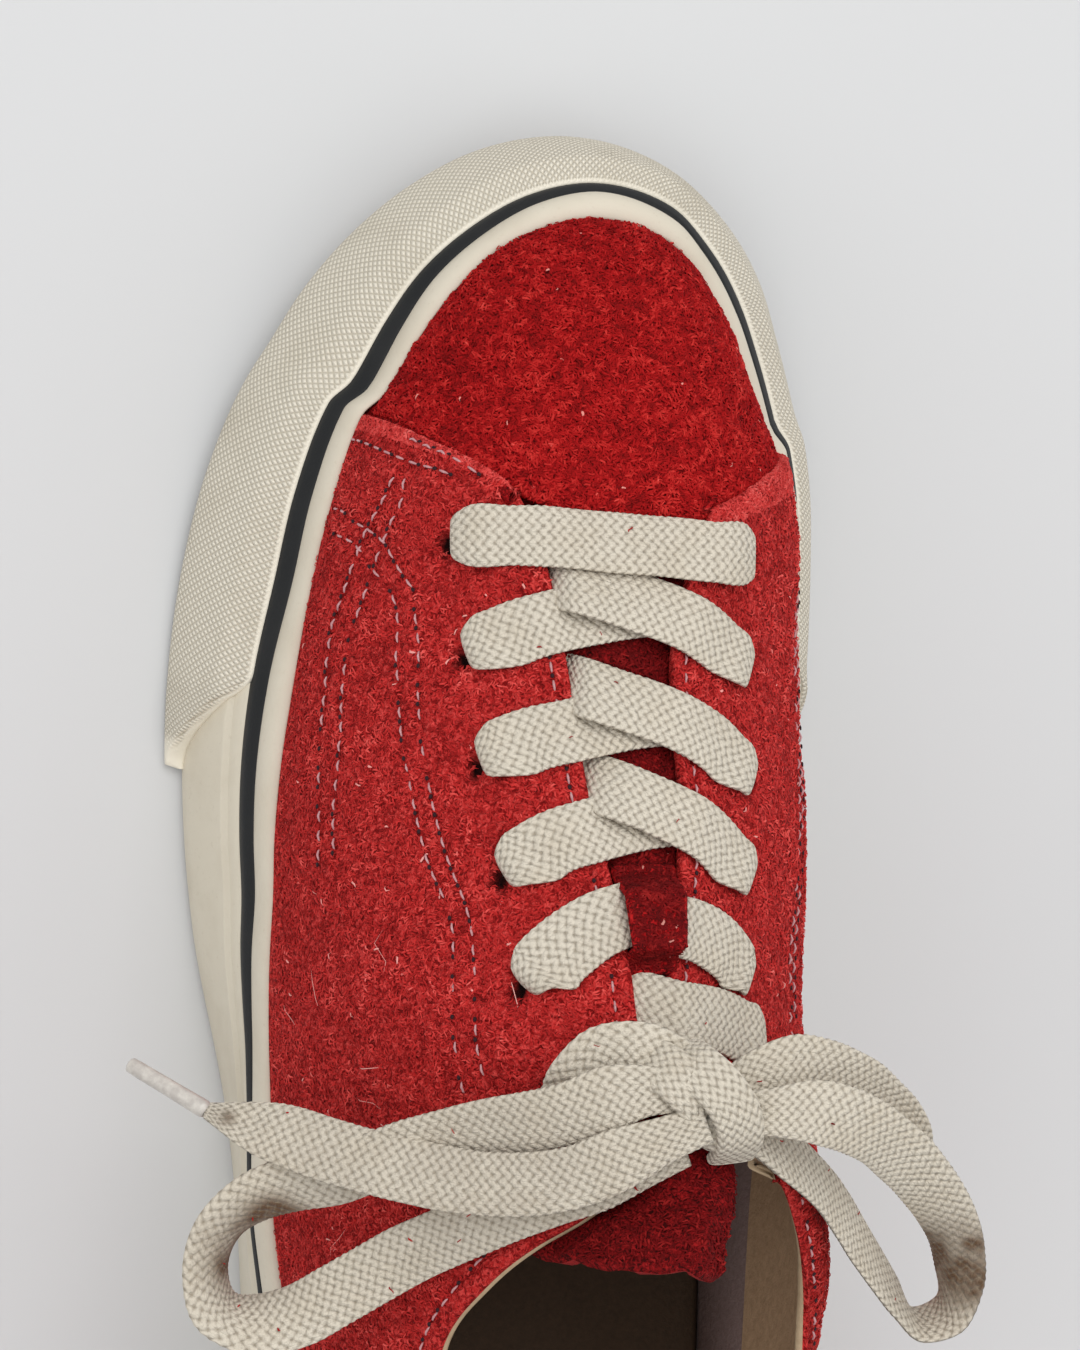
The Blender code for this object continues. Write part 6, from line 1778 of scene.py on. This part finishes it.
def make_nap(name, spots, normals, rng, length, width, rise, mat, slot, pale, clump=(1.1, 0.30)):
    """Matted fibres as short curled strands with a rounded back, joined in one mesh.

    pale is the share of nearly white ones; clump is the size of the tufts and how much their
    tone differs, the higher tufts painted lighter and the low ones darker as painted light and
    shade.
    """
    count = len(spots)
    side = unit(np.cross(normals, np.array(BRUSHED)))
    ahead = np.cross(side, normals)
    swirl = noise(spots, 8.0, 31) * 0.8 + noise(spots, 2.4, 32) + rng.normal(0, 0.9, count)
    way = side * np.cos(swirl)[:, None] + ahead * np.sin(swirl)[:, None]
    across = np.cross(normals, way)
    tuft = 0.8 * noise(spots, clump[0], 33) + 0.3 * noise(spots, clump[0] * 2, 35)
    long = length * (0.6 + 0.8 * rng.random((count, 1)))
    lift = rise * (0.2 + 0.9 * rng.random((count, 1))) * (1 + 0.7 * tuft[:, None])
    wide = width * (0.65 + 0.7 * rng.random((count, 1)))
    curl = rng.normal(0, 0.12, (count, 1)) * long
    wave = rng.normal(0, 0.07, (count, 1)) * long
    bend_at = way * long * STRAND_BEND
    start = spots - way * long / 2 - normals * 0.25 - across * curl / 2
    first = spots - bend_at + normals * lift * 0.85 + across * (curl / 2 + wave)
    second = spots + bend_at + normals * lift + across * (curl / 2 - wave)
    end = spots + way * long / 2 - normals * 0.2 - across * curl / 2
    ridge = normals * wide * 0.32
    points = np.stack((start, first - across * wide / 2, first + ridge, first + across * wide / 2,
                       second - across * wide * 0.45, second + ridge, second + across * wide * 0.45,
                       end), axis=1).reshape(-1, 3)
    faces = (np.arange(count)[:, None, None] * len(STRAND_SHADING) + STRAND).reshape(-1, 3)
    # tone follows the tufts that lift the strands: painted light on raised tufts, painted shade
    # between them, over random tone
    tone = 0.44 + clump[1] * tuft + 0.06 * noise(spots, 9.0, 34) + rng.normal(0, 0.09, count)
    tint_and_shading = tone[:, None] + np.array(STRAND_SHADING)
    tint_and_shading = np.minimum(tint_and_shading, 0.9)
    tint_and_shading[rng.random(count) < pale] = 1.0
    piece(name, points, faces, [mat], fields={"tint_and_shading": np.clip(tint_and_shading, 0, 1)})


NAP_TOP_ROW = 66            # last row of the leather's grid with nap, under the collar's binding
LINT_COUNT = 34


def make_all_nap():
    """Nap of the vamp, the two quarters, the tongue and the keeper, and lint on the laces."""
    rng = np.random.default_rng(5)
    at = np.mod(PLACES, LAP)[:, None]
    front = at - KNOTS[ROW_FRONT_LATERAL], KNOTS[ROW_FRONT_MEDIAL] - at
    row = np.arange(LEATHER.shape[1])[None, :]
    collar = (at < KNOTS[ROW_CORNER_LATERAL]) | (at > KNOTS[ROW_CORNER_MEDIAL])
    bare = (row < len(HIDDEN_HEIGHTS)) | (EYELET_SHADE_AREA >= 0.2) | (collar & (row > NAP_TOP_ROW))
    vamp = (front[0] > 1.2) & (front[1] > 1.2) & ~bare
    lateral = (front[0] < -0.1) & ~bare
    medial = (front[1] < 0.1) & ~bare
    strip = (np.minimum(*np.abs(front)) < 3.6) & (np.minimum(*front) < 0.4) & ~bare
    upper = LEATHER, NORMALS
    # fibres: length, width, rise, look, slot, share of pale ones, tufts
    quarter = (1.35, 0.30, 0.30, NAP_QUARTER, "red_suede", 0.003, (1.5, 0.5))
    for name, count, sheet, keep, fibres in (
            ("vamp_nap", 24000, upper, vamp, (1.6, 0.36, 0.40, NAP_VAMP, "red_suede", 0.0012)),
            ("lateral_nap", 24500, upper, lateral, quarter),
            ("stray_hairs", 14, upper, lateral, (9.0, 0.11, 0.75, NAP_EDGE, "red_suede", 1.0)),
            ("medial_nap", 20000, upper, medial, quarter),
            ("edge_nap", 4200, upper, strip, (1.15, 0.28, 0.22, NAP_EDGE, "red_suede", 0.0)),
            ("tongue_nap", 8000, TONGUE, None,
             (1.6, 0.36, 0.35, NAP_TONGUE_SHADED, "tongue_suede", 0.004)),
            ("keeper_nap", 1300, STRAP, None,
             (1.4, 0.3, 0.25, NAP_TONGUE_SHADED, "keeper_suede", 0.004))):
        spots, normals = sample(*sheet, count, rng, sheet is upper, keep)
        make_nap(name, spots, normals, rng, *fibres)
    spots, normals = zip(*(LINT[k] for k in rng.choice(len(LINT), LINT_COUNT, replace=False)))
    make_nap("lace_lint", np.array(spots), np.array(normals), rng, 1.3, 0.2, 0.25, NAP_VAMP,
             "lace_cotton", 0.0)


make_all_nap()


# ---------------------------------------------------------------- what carries over, and the set

for slot in frame["nodes"]["outsole"].material_slots:
    slot.material = SOLE


FLOOR_HALF = 4.0            # metres
FLOOR_TONE = (0.665, 0.67, 0.675)
LIT_SPOT = (0, -0.03, 0.04)     # what the lamps look at
LAMPS = (   # name, place, size in metres, watts
    ("key", (-0.1, -0.9, 1.7), 1.4, 16.0), ("fill", (1.2, 0.2, 1.4), 1.6, 9.0),
    ("rim", (-1.2, 0.3, 1.4), 1.6, 6.0))
ROOM_LIGHT = 0.53


def make_set():
    """Pale floor and soft studio light."""
    mesh = bpy.data.meshes.new("floor")
    corners = [(x * FLOOR_HALF, y * FLOOR_HALF, 0) for x, y in ((-1, -1), (1, -1), (1, 1), (-1, 1))]
    mesh.from_pydata(corners, [], [(0, 1, 2, 3)])
    floor = bpy.data.objects.new("floor", mesh)
    bpy.context.scene.collection.objects.link(floor)
    look = Look("floor_paper", 0.9, 0.2)
    look.colour(FLOOR_TONE)
    mesh.materials.append(look.mat)
    for name, spot, size, power in LAMPS:
        data = bpy.data.lights.new(name, "AREA")
        data.size = size
        data.energy = power
        lamp = bpy.data.objects.new(name, data)
        bpy.context.scene.collection.objects.link(lamp)
        lamp.location = spot
        lamp.rotation_euler = (Vector(LIT_SPOT) - Vector(spot)).to_track_quat("-Z", "Y").to_euler()
    room = bpy.data.worlds.new("studio")
    room.use_nodes = True
    back = room.node_tree.nodes["Background"]
    back.inputs["Color"].default_value = (1.0, 1.0, 1.0, 1.0)
    back.inputs["Strength"].default_value = ROOM_LIGHT
    bpy.context.scene.world = room
    bpy.context.scene.view_settings.view_transform = "Standard"


make_set()
